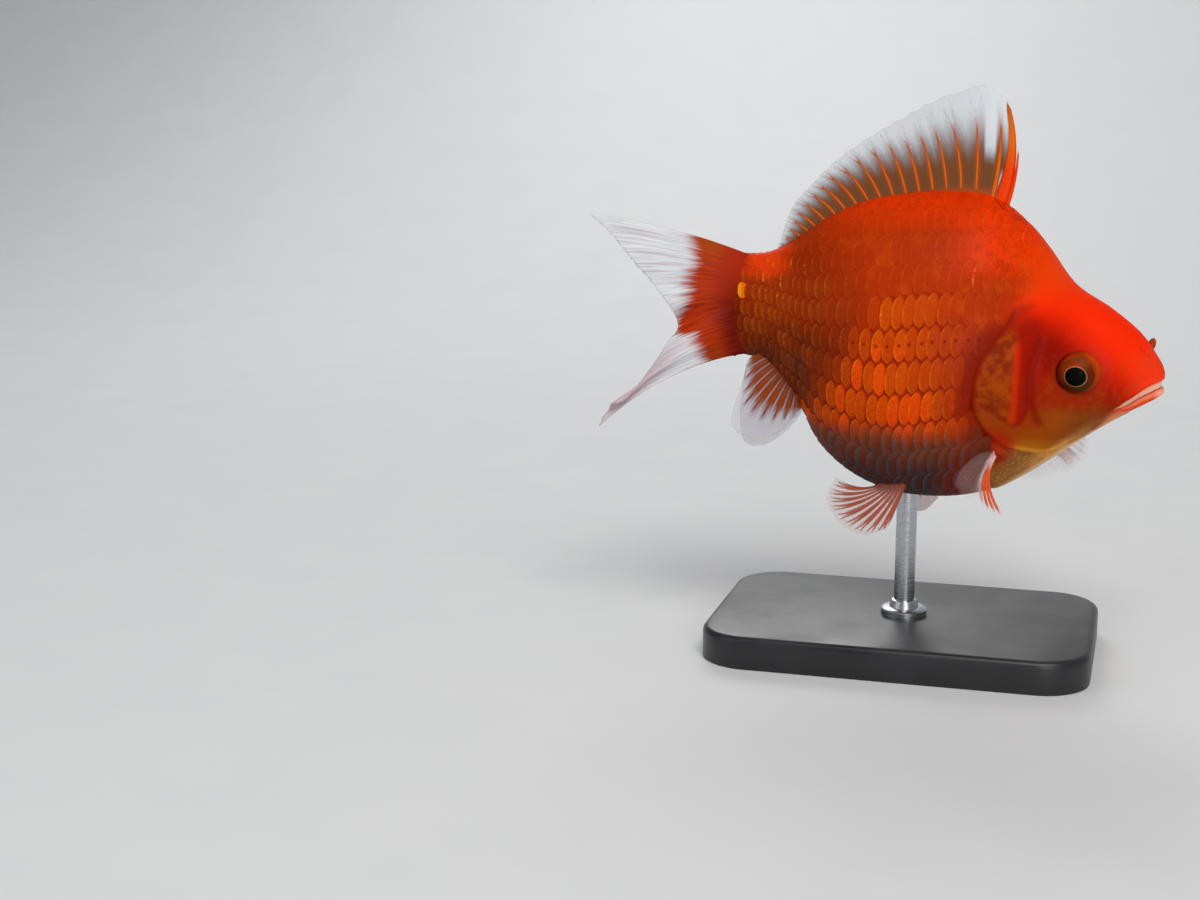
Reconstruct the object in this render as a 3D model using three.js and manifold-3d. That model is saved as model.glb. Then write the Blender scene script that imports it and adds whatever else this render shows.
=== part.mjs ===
// A ryukin goldfish, life size: a short, deep, hump-backed fancy goldfish with a tall dorsal fin and a
// double tail, swimming nose down on a plain display stand. Millimetres, +Z up, the nose towards +X and
// the fish's left side towards +Y. The origin is the middle of the stand's underside.

import * as THREE from "three";
import { mergeVertices } from "three/addons/utils/BufferGeometryUtils.js";
import Module from "manifold-3d";

const wasm = await Module();
wasm.setup();

// ---------------------------------------------------------------- driving dimensions

const GAP = 0.3; // left between neighbouring pieces
const FISH_HEIGHT = 83; // the fish's own origin, level with its tail stalk, above the floor
const FISH_BACK = 8; // how far behind the stand's middle the fish's own origin lies
const COVER_RISE = 0.5; // of a gill cover above the skin round it
const COVER_DEPTH = 1.6; // of a gill cover below it
const FIN_ROOT_THICKNESS = 1.8;
const FIN_EDGE_THICKNESS = 0.7;
const EYE_RADIUS = 5.1;
const EYE_DEPTH = 4.6; // half the eyeball's thickness, across the head
const BASE = { length: 92, width: 62, height: 8, corner: 12, bevel: 1 };
const ROD_RADIUS = 2.5;

// ---------------------------------------------------------------- colours

const COLOURS = {
  skin: { color: 0xe04a10, roughness: 0.38, metalness: 0 },
  gillCover: { color: 0xc8620f, roughness: 0.3, metalness: 0.2 },
  fin: { color: 0xd8642c, roughness: 0.45, metalness: 0 },
  tailFin: { color: 0xe9c9bb, roughness: 0.45, metalness: 0 },
  eye: { color: 0x161110, roughness: 0.08, metalness: 0 },
  lacquer: { color: 0x1c1c1e, roughness: 0.4, metalness: 0 },
  steel: { color: 0xb9bcc0, roughness: 0.3, metalness: 1 },
};

// ---------------------------------------------------------------- smooth curves through rows of numbers

// A Catmull-Rom curve through rows of numbers: u counts along the rows. before and after stand for the
// rows that the ends lack.
function through(rows, u, before, after) {
  const last = rows.length - 1;
  const i = Math.min(Math.max(Math.floor(u), 0), last - 1);
  const f = u - i;
  const b = rows[i];
  const c = rows[i + 1];
  const a = i > 0 ? rows[i - 1] : (before ?? b.map((v, k) => 2 * v - c[k]));
  const d = i < last - 1 ? rows[i + 2] : (after ?? c.map((v, k) => 2 * v - b[k]));
  return b.map((v, k) => {
    const slope = (c[k] - a[k]) / 2;
    const nextSlope = (d[k] - v) / 2;
    const bend = c[k] - v;
    return v + f * (slope + f * (3 * bend - 2 * slope - nextSlope + f * (slope + nextSlope - 2 * bend)));
  });
}

// ---------------------------------------------------------------- the body

// Ribs from the mouth to the tail, each a slice across the fish: the back's x and z, the belly's x and z,
// the half width, the share of the way down at which it is widest, and how sharp its back is.
const RIBS = [
  [65.9, -14.9, 65.9, -14.9, 0, 0.5, 1],
  [66.4, -11.4, 65.8, -17.6, 3.4, 0.5, 1],
  [64.5, -7.8, 61.9, -20.3, 5.4, 0.52, 1],
  [60.5, -2.7, 56.3, -23.4, 7.6, 0.54, 1],
  [53.8, 2.6, 50.1, -27.6, 10.1, 0.55, 1],
  [45.6, 7.9, 43.4, -32.6, 12.9, 0.56, 1],
  [39.4, 16.0, 36.6, -37.5, 15.9, 0.57, 1.05],
  [33.5, 22.8, 28.8, -41.9, 18.4, 0.58, 1.15],
  [26.4, 27.7, 20.0, -43.9, 20.4, 0.58, 1.25],
  [16.0, 29.0, 11.0, -44.2, 21.4, 0.57, 1.3],
  [5.6, 28.2, 1.9, -43.0, 20.8, 0.56, 1.3],
  [-4.0, 26.2, -6.4, -39.2, 18.4, 0.55, 1.25],
  [-12.6, 22.3, -13.4, -32.9, 14.8, 0.53, 1.15],
  [-19.8, 17.4, -18.4, -24.2, 10.8, 0.51, 1.1],
  [-26.6, 13.6, -25.8, -14.8, 7.4, 0.5, 1.05],
  [-32.8, 12.9, -32.8, -12.4, 5.0, 0.5, 1],
  [-38.0, 13.2, -38.0, -12.8, 3.0, 0.5, 1],
  [-40.6, 0.2, -40.6, 0.2, 0, 0.5, 1],
];
const BELLY_ROUNDNESS = 0.94; // under 1 is fuller than an ellipse

// Past a closed end the back runs on as the belly, so that the end comes out round.
const crossedOver = ([backX, backZ, bellyX, bellyZ, width, widest, keel]) => [
  bellyX,
  bellyZ,
  backX,
  backZ,
  -width,
  widest,
  keel,
];

// The body's surface: u counts the ribs, and angle runs from 0 at the back to half a turn at the belly,
// positive on the left side.
function bodyPoint(u, angle) {
  const [backX, backZ, bellyX, bellyZ, width, widest, keel] = through(
    RIBS,
    u,
    crossedOver(RIBS[1]),
    crossedOver(RIBS[RIBS.length - 2]),
  );
  const upper = Math.cos(angle) > 0;
  const down = upper ? widest * (1 - Math.cos(angle)) : widest - (1 - widest) * Math.cos(angle);
  const out = Math.abs(Math.sin(angle)) ** (upper ? keel : BELLY_ROUNDNESS);
  return new THREE.Vector3(
    backX + (bellyX - backX) * down,
    width * out * Math.sign(Math.sin(angle)),
    backZ + (bellyZ - backZ) * down,
  );
}

function bodyNormal(u, angle) {
  if (u <= 0 || u >= RIBS.length - 1) return new THREE.Vector3(u > 0 ? -1 : 1, 0, 0);
  const step = 0.02;
  const along = bodyPoint(u + step, angle).sub(bodyPoint(u - step, angle));
  const around = bodyPoint(u, angle + step).sub(bodyPoint(u, angle - step));
  return around.cross(along).normalize();
}

const AROUND = 36;
const ALONG = 40;

// The whole body, its surface moved outwards by grown.
function body(grown = 0) {
  const ball = new THREE.SphereGeometry(1, AROUND, ALONG);
  const place = ball.getAttribute("position");
  for (let i = 0; i < place.count; i++) {
    const u = (Math.acos(THREE.MathUtils.clamp(place.getY(i), -1, 1)) / Math.PI) * (RIBS.length - 1);
    const angle = Math.atan2(place.getZ(i), place.getX(i));
    const p = bodyPoint(u, angle).addScaledVector(bodyNormal(u, angle), grown);
    place.setXYZ(i, p.x, p.y, p.z);
  }
  return solid(ball);
}

// ---------------------------------------------------------------- solids and meshes

function solid(geometry) {
  geometry.deleteAttribute("normal");
  geometry.deleteAttribute("uv");
  const merged = mergeVertices(geometry, 1e-4);
  return new wasm.Manifold(
    new wasm.Mesh({
      numProp: 3,
      vertProperties: merged.getAttribute("position").array,
      triVerts: new Uint32Array(merged.index.array),
    }),
  );
}

function piece(name, made, look) {
  const { vertProperties, triVerts } = made.getMesh();
  const geometry = new THREE.BufferGeometry();
  geometry.setAttribute("position", new THREE.BufferAttribute(vertProperties, 3));
  geometry.setIndex(new THREE.BufferAttribute(triVerts, 1));
  const mesh = new THREE.Mesh(geometry, new THREE.MeshStandardMaterial(look));
  mesh.name = name;
  return mesh;
}

// A side-view outline of [x, z] points carried across the fish from y = from to y = to.
function acrossFish(outline, from, to) {
  const shape = new THREE.Shape(outline.map(([x, z]) => new THREE.Vector2(x, z)));
  const prism = new THREE.ExtrudeGeometry(shape, { depth: to - from, bevelEnabled: false });
  prism.rotateX(Math.PI / 2);
  prism.translate(0, to, 0);
  return solid(prism);
}

// An outline that runs anticlockwise, moved outwards by gap all round.
function widened(outline, gap) {
  return outline.map((point, i) => {
    const here = new THREE.Vector2(...point);
    const next = new THREE.Vector2(...outline[(i + 1) % outline.length]);
    const outwards = [here.clone().sub(new THREE.Vector2(...outline.at(i - 1))), next.sub(here)].map(
      (along) => new THREE.Vector2(along.y, -along.x).normalize(),
    );
    const share = gap / (1 + outwards[0].dot(outwards[1]));
    const moved = here.addScaledVector(outwards[0].add(outwards[1]), share);
    return [moved.x, moved.y];
  });
}

// ---------------------------------------------------------------- fins

// Each fin is a fan of rays from a root line to an edge line, both listed as [x, y, z] from its first ray
// to its last. bow bends the rays' middles away from straight. Roots lie inside the body.
const FINS = {
  dorsal_fin: {
    roots: [
      [26.8, 0, 25.0],
      [22.8, 0, 26.6],
      [17.2, 0, 26.8],
      [10.4, 0, 26.2],
      [4.2, 0, 24.8],
      [-1.4, 0, 22.8],
      [-6.4, 0, 20.2],
      [-12.6, 0, 16.4],
      [-22.4, 0, 11.4],
    ],
    edge: [
      [27.6, 0.4, 50.2],
      [22.6, 0.6, 53.4],
      [11.6, 0.2, 50.0],
      [4.4, -0.5, 46.0],
      [-3.4, -0.6, 41.4],
      [-11.6, 0, 35.4],
      [-17.0, 0.6, 30.0],
      [-22.0, 0.4, 24.0],
      [-25.6, 0, 13.4],
    ],
    bow: [
      [2.3, 0.4, 0.4],
      [0.7, 0, 0.3],
      [1.3, 0, 0.3],
      [0.9, 0, 0.4],
      [0.5, 0, 0.9],
      [0.5, 0, 1.6],
      [0.4, 0, 1.8],
      [0.4, 0, 1.0],
      [0.3, 0, 0.8],
    ],
    steps: [16, 4],
  },
  pectoral_fin_right: {
    roots: [
      [32.6, -11.6, -27.6],
      [29.6, -11.4, -30.8],
    ],
    edge: [
      [33.2, -22.8, -44.2],
      [30.6, -24.6, -42.6],
      [28.2, -26.6, -40.2],
      [25.8, -28.6, -38.6],
      [23.6, -29.6, -37.0],
      [22.0, -29.8, -34.8],
      [23.2, -27.0, -31.8],
    ],
    bow: [
      [-4.0, -1.5, 0.8],
      [-1.8, -2.0, 1.0],
      [0.2, -1.5, 1.8],
    ],
    steps: [7, 4],
  },
  pectoral_fin_left: {
    roots: [
      [32.6, 11.6, -27.6],
      [29.6, 11.4, -30.8],
    ],
    edge: [
      [49.6, 25.5, -33.8],
      [48.8, 28, -39.8],
      [43.0, 28.5, -44.2],
      [36.8, 26.5, -46.0],
      [31.6, 23.5, -44.6],
    ],
    bow: [
      [0.6, 1.5, 1.6],
      [0.6, 1.5, 1.2],
    ],
    steps: [7, 4],
  },
  pelvic_fin_right: {
    roots: [
      [4.0, -7.6, -40.2],
      [9.0, -10.6, -39.6],
    ],
    edge: [
      [-7.4, -13, -38.6],
      [-9.0, -16, -42.0],
      [-8.0, -19, -45.4],
      [-4.4, -21, -48.8],
      [0.6, -21.5, -50.2],
      [5.8, -20, -49.0],
    ],
    bow: [
      [0, -0.6, -1.8],
      [0, -1.4, -0.6],
    ],
    steps: [7, 4],
  },
  pelvic_fin_left: {
    roots: [
      [4.0, 7.6, -40.2],
      [9.0, 10.6, -39.6],
    ],
    edge: [
      [-2.6, 12, -45.0],
      [0.4, 14, -49.6],
      [5.0, 15.5, -52.2],
      [10.2, 16.5, -52.6],
      [13.6, 16.5, -49.4],
    ],
    bow: [
      [0, 0.6, -1.4],
      [0.6, 1.4, -0.4],
    ],
    steps: [7, 4],
  },
  anal_fin_right: {
    roots: [
      [-26.6, -1.6, -11.4],
      [-22.6, -2.6, -15.6],
      [-18.6, -3.4, -20.4],
    ],
    edge: [
      [-31.6, -5, -15.2],
      [-33.0, -7, -21.4],
      [-34.0, -9, -28.2],
      [-29.6, -9.5, -31.2],
      [-23.6, -8.5, -30.4],
      [-19.0, -6, -26.6],
    ],
    bow: [
      [-1.4, -0.4, 1.2],
      [0.8, -0.8, -0.4],
    ],
    steps: [7, 4],
  },
  anal_fin_left: {
    roots: [
      [-26.6, 1.6, -11.4],
      [-22.6, 2.6, -15.6],
      [-18.6, 3.4, -20.4],
    ],
    edge: [
      [-33.4, 5, -18.4],
      [-35.4, 7, -27.0],
      [-34.8, 9.5, -35.6],
      [-29.6, 10, -36.6],
      [-24.4, 8.5, -33.0],
      [-20.6, 6, -27.8],
    ],
    bow: [
      [-1.4, 0.4, 1.2],
      [0.8, 0.8, -0.4],
    ],
    steps: [7, 4],
  },
};

// Each half of the double tail runs from its top ray to its bottom ray, and forks halfway. The tail
// sweeps to the left, so the left half stands further out and closes up.
const TAIL_ROOTS = [
  [-35.4, 1.0, 11.8],
  [-36.4, 1.2, 5.4],
  [-36.8, 1.3, -0.4],
  [-36.4, 1.2, -6.0],
  [-35.4, 1.0, -11.4],
];
const TAIL_HALVES = {
  right: {
    roots: TAIL_ROOTS.map(([x, y, z]) => [x, -y, z]),
    edge: [
      [-69.2, -12, 22.5],
      [-64.0, -12.2, 18.0],
      [-58.0, -11.6, 10.8],
      [-53.6, -10.4, 5.6],
      [-49.6, -8.8, 0.6],
      [-48.1, -7.5, -4.8],
      [-49.6, -9.4, -8.8],
      [-52.6, -13.4, -13.6],
      [-56.8, -18.4, -19.6],
      [-61.8, -21.4, -24.4],
      [-63.4, -22.4, -27.8],
    ],
    bow: [
      [0, -1.4, 2.0],
      [0, -1.8, 0.6],
      [0, -0.8, 3.4],
    ],
    steps: [6, 5],
  },
  left: {
    roots: TAIL_ROOTS,
    edge: [
      [-59.6, 20.5, 15.8],
      [-58.0, 20.5, 12.8],
      [-55.5, 18.8, 8.2],
      [-53.2, 16.4, 3.2],
      [-51.0, 14.2, -1.8],
      [-50.0, 13.2, -5.0],
      [-50.4, 14.8, -8.0],
      [-51.4, 17.8, -11.0],
      [-52.8, 20.8, -14.0],
      [-54.0, 23.0, -16.6],
      [-53.2, 23.6, -18.6],
    ],
    bow: [
      [-2, -1.2, 0.4],
      [-1.4, -1.4, 0.4],
      [-1, -1.0, 1.4],
    ],
    steps: [6, 5],
  },
};

// A point of a fin: s runs from its first ray to its last, t from root to edge.
function finPoint(fin, s, t) {
  const row = (rows) => new THREE.Vector3(...through(rows, s * (rows.length - 1)));
  const middle = row(fin.bow).multiplyScalar(4 * t * (1 - t));
  return row(fin.roots).lerp(row(fin.edge), t).add(middle);
}

// The fin between its rays first and last, as a slab that thins towards its edge.
function finSlab(fin, first = 0, last = 1) {
  const [across, along] = fin.steps;
  const slab = new THREE.BoxGeometry(1, 1, 1, across, along, 1);
  const place = slab.getAttribute("position");
  const step = 0.01;
  for (let i = 0; i < place.count; i++) {
    const s = first + (last - first) * (place.getX(i) + 0.5);
    const t = place.getY(i) + 0.5;
    const alongRay = finPoint(fin, s, t + step).sub(finPoint(fin, s, t - step));
    const acrossRays = finPoint(fin, s + step, t).sub(finPoint(fin, s - step, t));
    const thickness = THREE.MathUtils.lerp(FIN_ROOT_THICKNESS, FIN_EDGE_THICKNESS, Math.sqrt(t));
    const normal = acrossRays.cross(alongRay).normalize();
    const p = finPoint(fin, s, t).addScaledVector(normal, thickness * place.getZ(i));
    place.setXYZ(i, p.x, p.y, p.z);
  }
  return solid(slab);
}

// ---------------------------------------------------------------- the head's pieces

// The gill cover's outline, from the side, rounded at the back.
const COVER_OUTLINE = [
  [34.6, -1.2],
  [31.4, -1.8],
  [28.6, -4.4],
  [26.2, -9.0],
  [25.2, -14.4],
  [25.8, -20.0],
  [28.4, -25.4],
  [32.6, -29.2],
  [38.0, -30.6],
  [41.0, -28.8],
  [38.2, -24.6],
  [37.0, -17.0],
  [37.6, -8.0],
  [36.8, -3.2],
];

// Where the head ends: a line down from the nape, round behind the gill cover, to the throat. The jaw's
// line runs from the mouth to its corner and down to the throat.
const FAR = 90; // well outside the fish
const HEAD_EDGE = [
  [40.6, FAR],
  [40.6, 18.0],
  [32.4, 0.8],
  [27.4, -3.4],
  [24.9, -8.4],
  [23.8, -14.4],
  [24.4, -20.8],
  [27.2, -26.8],
  [31.4, -31.0],
  [33.6, -FAR],
];
const JAW_EDGE = [
  [FAR, -2.3],
  [65.6, -15.0],
  [60.6, -17.6],
  [56.0, -20.7],
  [52.6, -24.6],
  [51.0, -FAR],
];
const STALK_EDGE_X = -22; // where the trunk gives way to the tail stalk

function leftAndRight(name, make, look) {
  return [
    [1, "left"],
    [-1, "right"],
  ].map(([side, word]) => piece(`${name}_${word}`, make(side), look));
}

function eyeball(side, grown = 0) {
  const ball = new THREE.SphereGeometry(1, 18, 10);
  ball.scale(EYE_RADIUS + grown, EYE_DEPTH + grown, EYE_RADIUS + grown);
  ball.rotateZ(THREE.MathUtils.degToRad(-4) * side);
  ball.translate(47.4, 9.3 * side, -11.3);
  return solid(ball);
}

// The flap of skin that stands over a nostril.
function nostrilFlap(side) {
  const flap = new THREE.SphereGeometry(1, 10, 6);
  flap.scale(0.7, 1.1, 2.2);
  flap.rotateY(THREE.MathUtils.degToRad(38));
  const [u, angle] = [2.55, THREE.MathUtils.degToRad(34) * side];
  const at = bodyPoint(u, angle).addScaledVector(bodyNormal(u, angle), 0.5);
  flap.translate(at.x, at.y, at.z);
  return solid(flap);
}

// ---------------------------------------------------------------- the stand

function standBase() {
  const { length, width, height, corner, bevel } = BASE;
  const [x, y] = [length / 2 - corner, width / 2 - corner];
  const radius = corner - bevel;
  const outline = new THREE.Shape();
  outline.absarc(x, y, radius, 0, Math.PI / 2);
  outline.absarc(-x, y, radius, Math.PI / 2, Math.PI);
  outline.absarc(-x, -y, radius, Math.PI, 1.5 * Math.PI);
  outline.absarc(x, -y, radius, 1.5 * Math.PI, 2 * Math.PI);
  const plate = new THREE.ExtrudeGeometry(outline, {
    depth: height - 2 * bevel,
    bevelSize: bevel,
    bevelThickness: bevel,
    bevelSegments: 1,
    curveSegments: 5,
  });
  plate.translate(0, 0, bevel);
  return solid(plate);
}

// The rod runs up from the base into the belly, where cut takes its top off.
function standRod(cut) {
  const top = FISH_HEIGHT - 30;
  const rod = new THREE.CylinderGeometry(ROD_RADIUS, ROD_RADIUS, top - BASE.height - GAP, 24);
  rod.rotateX(Math.PI / 2);
  rod.translate(0, 0, (top + BASE.height + GAP) / 2);
  return solid(rod).subtract(cut.translate([-FISH_BACK, 0, FISH_HEIGHT]));
}

// ---------------------------------------------------------------- putting the fish together

const whole = body();
const wholeGrown = body(GAP);

const headArea = [...HEAD_EDGE.map(([x, z]) => [x + GAP, z]), [FAR, -FAR], [FAR, FAR]];
const trunkArea = [...HEAD_EDGE, [STALK_EDGE_X, -FAR], [STALK_EDGE_X, FAR]].reverse();
const stalkArea = [
  [STALK_EDGE_X - GAP, -FAR],
  [STALK_EDGE_X - GAP, FAR],
  [-FAR, FAR],
  [-FAR, -FAR],
];
const jawArea = (grown) => [...JAW_EDGE.map(([x, z]) => [x - grown, z + grown]), [FAR, -FAR]];
const throughFish = (outline) => acrossFish(outline, -FAR, FAR);

// A gill cover on one side, every face of it moved outwards by grown.
function gillCover(side, grown = 0) {
  const outline = widened(COVER_OUTLINE, grown);
  const block = side > 0 ? acrossFish(outline, 0.01, FAR) : acrossFish(outline, -FAR, -0.01);
  return body(COVER_RISE + grown).intersect(block).subtract(body(-COVER_DEPTH - grown));
}

const eyeSockets = eyeball(1, GAP).add(eyeball(-1, GAP));
const coverPockets = gillCover(1, GAP).add(gillCover(-1, GAP));
const fullHead = whole.intersect(throughFish(headArea)).subtract(coverPockets);
const head = fullHead.subtract(eyeSockets).subtract(throughFish(jawArea(GAP)));
const lowerJaw = fullHead.intersect(throughFish(jawArea(0)));

const finPiece = (name, fin, look, first, last) =>
  piece(name, finSlab(fin, first, last).subtract(wholeGrown).subtract(coverPockets), look);

const fish = new THREE.Group();
fish.add(
  piece("head", head, COLOURS.skin),
  piece("lower_jaw", lowerJaw, COLOURS.skin),
  piece("trunk", whole.intersect(throughFish(trunkArea)), COLOURS.skin),
  piece("tail_stalk", whole.intersect(throughFish(stalkArea)), COLOURS.skin),
  ...leftAndRight("gill_cover", (side) => gillCover(side), COLOURS.gillCover),
  ...leftAndRight("eye", (side) => eyeball(side), COLOURS.eye),
  ...leftAndRight("nostril_flap", (side) => nostrilFlap(side).subtract(wholeGrown), COLOURS.skin),
);
for (const [name, fin] of Object.entries(FINS)) fish.add(finPiece(name, fin, COLOURS.fin));
const HALF_GAP = 0.006; // half the gap at the tail's fork, as a share of its rays
for (const [word, half] of Object.entries(TAIL_HALVES))
  fish.add(
    finPiece(`tail_fin_upper_${word}`, half, COLOURS.tailFin, 0, 0.5 - HALF_GAP),
    finPiece(`tail_fin_lower_${word}`, half, COLOURS.tailFin, 0.5 + HALF_GAP, 1),
  );
fish.position.set(-FISH_BACK, 0, FISH_HEIGHT);

const goldfish = new THREE.Group();
goldfish.add(
  fish,
  piece("stand_base", standBase(), COLOURS.lacquer),
  piece("stand_rod", standRod(wholeGrown), COLOURS.steel),
);

export default goldfish;
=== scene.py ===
# %% [markdown] # A ryukin goldfish on a display stand  A ryukin is a fancy goldfish: short and deep, with
# a hump behind its pointed head, a tall dorsal fin and a double tail. This lesson dresses the plain
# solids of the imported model. One skin covers the head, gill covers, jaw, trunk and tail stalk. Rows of
# scales lie over it, and each fin becomes a thin membrane that is stretched over branching rays. Every
# piece is then placed from the solids' own boxes.

from math import cos, pi, radians, sin

import bmesh
import bpy
import numpy as np
from mathutils import Euler, Matrix, Vector


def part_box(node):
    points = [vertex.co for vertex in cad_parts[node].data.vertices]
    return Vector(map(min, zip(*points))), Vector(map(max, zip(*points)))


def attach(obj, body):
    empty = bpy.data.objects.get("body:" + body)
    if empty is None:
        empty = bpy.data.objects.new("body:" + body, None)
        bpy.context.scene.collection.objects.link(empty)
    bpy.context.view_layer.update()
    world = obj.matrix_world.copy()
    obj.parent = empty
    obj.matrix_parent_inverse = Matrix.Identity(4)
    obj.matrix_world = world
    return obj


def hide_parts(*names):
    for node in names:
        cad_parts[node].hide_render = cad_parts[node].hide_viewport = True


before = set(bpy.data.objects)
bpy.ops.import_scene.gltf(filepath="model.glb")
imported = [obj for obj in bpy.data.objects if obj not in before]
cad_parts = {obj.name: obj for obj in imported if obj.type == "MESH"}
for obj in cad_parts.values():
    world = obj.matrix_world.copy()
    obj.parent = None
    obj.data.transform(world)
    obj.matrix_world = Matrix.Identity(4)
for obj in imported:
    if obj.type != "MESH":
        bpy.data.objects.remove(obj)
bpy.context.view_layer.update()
print("solids:", len(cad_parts))

# %% [markdown]
# The fish has an origin of its own, inside the tail stalk's height, and sizes below are in millimetres
# from there: x towards the nose, y towards the fish's left, z up. The stand says where that is: the fish's
# origin is a little behind the rod and well above the base's underside.

# %% Where the fish is
MM = 0.001
FISH_BACK = 8 * MM  # behind the stand's rod
FISH_HEIGHT = 83 * MM  # above the floor

base_low, base_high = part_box("stand_base")
rod_low, rod_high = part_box("stand_rod")
rod_axis = (rod_low + rod_high) / 2
fish_origin = Vector((rod_axis.x - FISH_BACK, 0, base_low.z + FISH_HEIGHT))


def in_frame(points):
    """Rows of [x, y, z] in the fish's millimetres, as metres in the frame."""
    return np.asarray(points) * MM + np.array(fish_origin)


print("fish origin:", [round(v, 4) for v in fish_origin])

# %% [markdown]
# ## The camera
#
# The camera comes early, so that every later step can be looked at. It stands about half a metre away,
# a little above the fish and slightly ahead of it, and the fish is right of the view's middle.

# %% Camera
AZIMUTH = radians(16)
ELEVATION = radians(12)
DISTANCE = 0.48
FISH_RIGHT = 67.2 * MM  # of the view's middle
FISH_ABOVE = 33.6 * MM

back = Vector(
    (sin(AZIMUTH) * cos(ELEVATION), -cos(AZIMUTH) * cos(ELEVATION), sin(ELEVATION))
)
right = Vector((cos(AZIMUTH), sin(AZIMUTH), 0))
up = back.cross(right)
target = fish_origin - right * FISH_RIGHT - up * FISH_ABOVE

camera_data = bpy.data.cameras.new("camera")
camera_data.lens = 60
camera_data.sensor_width = 36
camera_data.clip_start = 0.01
camera = bpy.data.objects.new("camera", camera_data)
camera.location = target + back * DISTANCE
camera.rotation_euler = back.to_track_quat("Z", "Y").to_euler()
bpy.context.scene.collection.objects.link(camera)
bpy.context.scene.camera = camera
print("camera height, mm:", round(camera.location.z / MM))

# %% [markdown]
# ## The body's shape
#
# A fish's body could be sculpted, or be lofted through slices. It is lofted here, because a body that is
# told by numbers can be asked for its surface at any place, and the scales need that. Three helpers come
# first: a smooth curve through rows of numbers, an eased step and a round hill.

# %% Smooth curves


def through(rows, u, before=None, after=None):
    """Points of a smooth curve through rows of numbers, where u counts the rows."""
    rows = np.asarray(rows, float)
    before = 2 * rows[0] - rows[1] if before is None else before
    after = 2 * rows[-1] - rows[-2] if after is None else after
    padded = np.vstack([before, rows, after])
    u = np.clip(np.asarray(u, float), 0, len(rows) - 1)
    i = np.minimum(u.astype(int), len(rows) - 2)
    f = (u - i)[..., None]
    a, b, c, d = (padded[i + k] for k in range(4))
    slope, next_slope, bend = (c - a) / 2, (d - b) / 2, c - b
    curl = slope + next_slope - 2 * bend
    return b + f * (slope + f * (3 * bend - 2 * slope - next_slope + f * curl))


def smooth_step(value, start, end):
    """0 at start, 1 at end, and eased between. The end may lie below the start."""
    t = np.clip((value - start) / (end - start), 0, 1)
    return t * t * (3 - 2 * t)


def hill(distance, width):
    """A round hill, 1 high where distance is 0."""
    return np.exp(-((distance / width) ** 2))


print("a hill's height one width out:", round(float(hill(1, 1)), 2))


# %% [markdown]
# The ribs are slices from mouth to tail, each with a place on the back, a place on the belly and a width.
# They are the ribs that the solids have. The first and last are points, where the body closes.

# %% The ribs
# back x, back z, belly x, belly z, half width, how far down the widest place is, sharpness of the back
RIBS = np.array(
    [
        [65.9, -14.9, 65.9, -14.9, 0, 0.5, 1],
        [66.4, -11.4, 65.8, -17.6, 3.4, 0.5, 1],
        [64.5, -7.8, 61.9, -20.3, 5.4, 0.52, 1],
        [60.5, -2.7, 56.3, -23.4, 7.6, 0.54, 1],
        [53.8, 2.6, 50.1, -27.6, 10.1, 0.55, 1],
        [45.6, 7.9, 43.4, -32.6, 12.9, 0.56, 1],
        [39.4, 16.0, 36.6, -37.5, 15.9, 0.57, 1.05],
        [33.5, 22.8, 28.8, -41.9, 18.4, 0.58, 1.15],
        [26.4, 27.7, 20.0, -43.9, 20.4, 0.58, 1.25],
        [16.0, 29.0, 11.0, -44.2, 21.4, 0.57, 1.3],
        [5.6, 28.2, 1.9, -43.0, 20.8, 0.56, 1.3],
        [-4.0, 26.2, -6.4, -39.2, 18.4, 0.55, 1.25],
        [-12.6, 22.3, -13.4, -32.9, 14.8, 0.53, 1.15],
        [-19.8, 17.4, -18.4, -24.2, 10.8, 0.51, 1.1],
        [-26.6, 13.6, -25.8, -14.8, 7.4, 0.5, 1.05],
        [-32.8, 12.9, -32.8, -12.4, 5.0, 0.5, 1],
        [-38.0, 13.2, -38.0, -12.8, 3.0, 0.5, 1],
        [-40.6, 0.2, -40.6, 0.2, 0, 0.5, 1],
    ]
)
print("deepest rib, mm:", round(float((RIBS[:, 1] - RIBS[:, 3]).max()), 1))

# %% [markdown]
# Two numbers tell any place on the body: u counts the ribs from the mouth, and an angle goes round from
# the back to the belly. Each rib is rounded in two halves, so that the back can be sharper than the belly.

# %% Places on the body
BELLY_ROUNDNESS = 0.94
LAST_RIB = len(RIBS) - 1


def crossed_over(row):
    """A rib with back and belly swapped, which lets an end of the body come out round."""
    return np.array([row[2], row[3], row[0], row[1], -row[4], row[5], row[6]])


def body_points(u, angle):
    """Places on the body: u counts the ribs, and angle goes from 0 on the back to pi on the belly."""
    rows = through(RIBS, u, crossed_over(RIBS[1]), crossed_over(RIBS[-2]))
    back_x, back_z, belly_x, belly_z, width, widest, keel = np.moveaxis(rows, -1, 0)
    upper = np.cos(angle) > 0
    down = np.where(
        upper, widest * (1 - np.cos(angle)), widest - (1 - widest) * np.cos(angle)
    )
    out = np.abs(np.sin(angle)) ** np.where(upper, keel, BELLY_ROUNDNESS)
    return np.stack(
        [
            back_x + (belly_x - back_x) * down,
            width * out * np.sign(np.sin(angle)),
            back_z + (belly_z - back_z) * down,
        ],
        -1,
    )


def body_normals(u, angle):
    """Which way the body's surface faces."""
    step = 0.02
    along = body_points(u + step, angle) - body_points(u - step, angle)
    around = body_points(u, angle + step) - body_points(u, angle - step)
    across = np.cross(around, along)
    return across / np.maximum(np.linalg.norm(across, axis=-1, keepdims=True), 1e-9)


hump = body_points(np.linspace(0, LAST_RIB, 200), np.zeros(200))[:, 2].max()
print("top of the hump, mm:", round(float(hump), 1))

# %% [markdown]
# ## Lines on the head
#
# The parts of a fish's head are told apart by lines: the rear edge of the gill cover, the grooves between
# its bones, and the mouth. They could be carved one by one. Here each is a smooth curve in the side view,
# and the skin is raised or pressed in by its distance from them.

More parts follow.
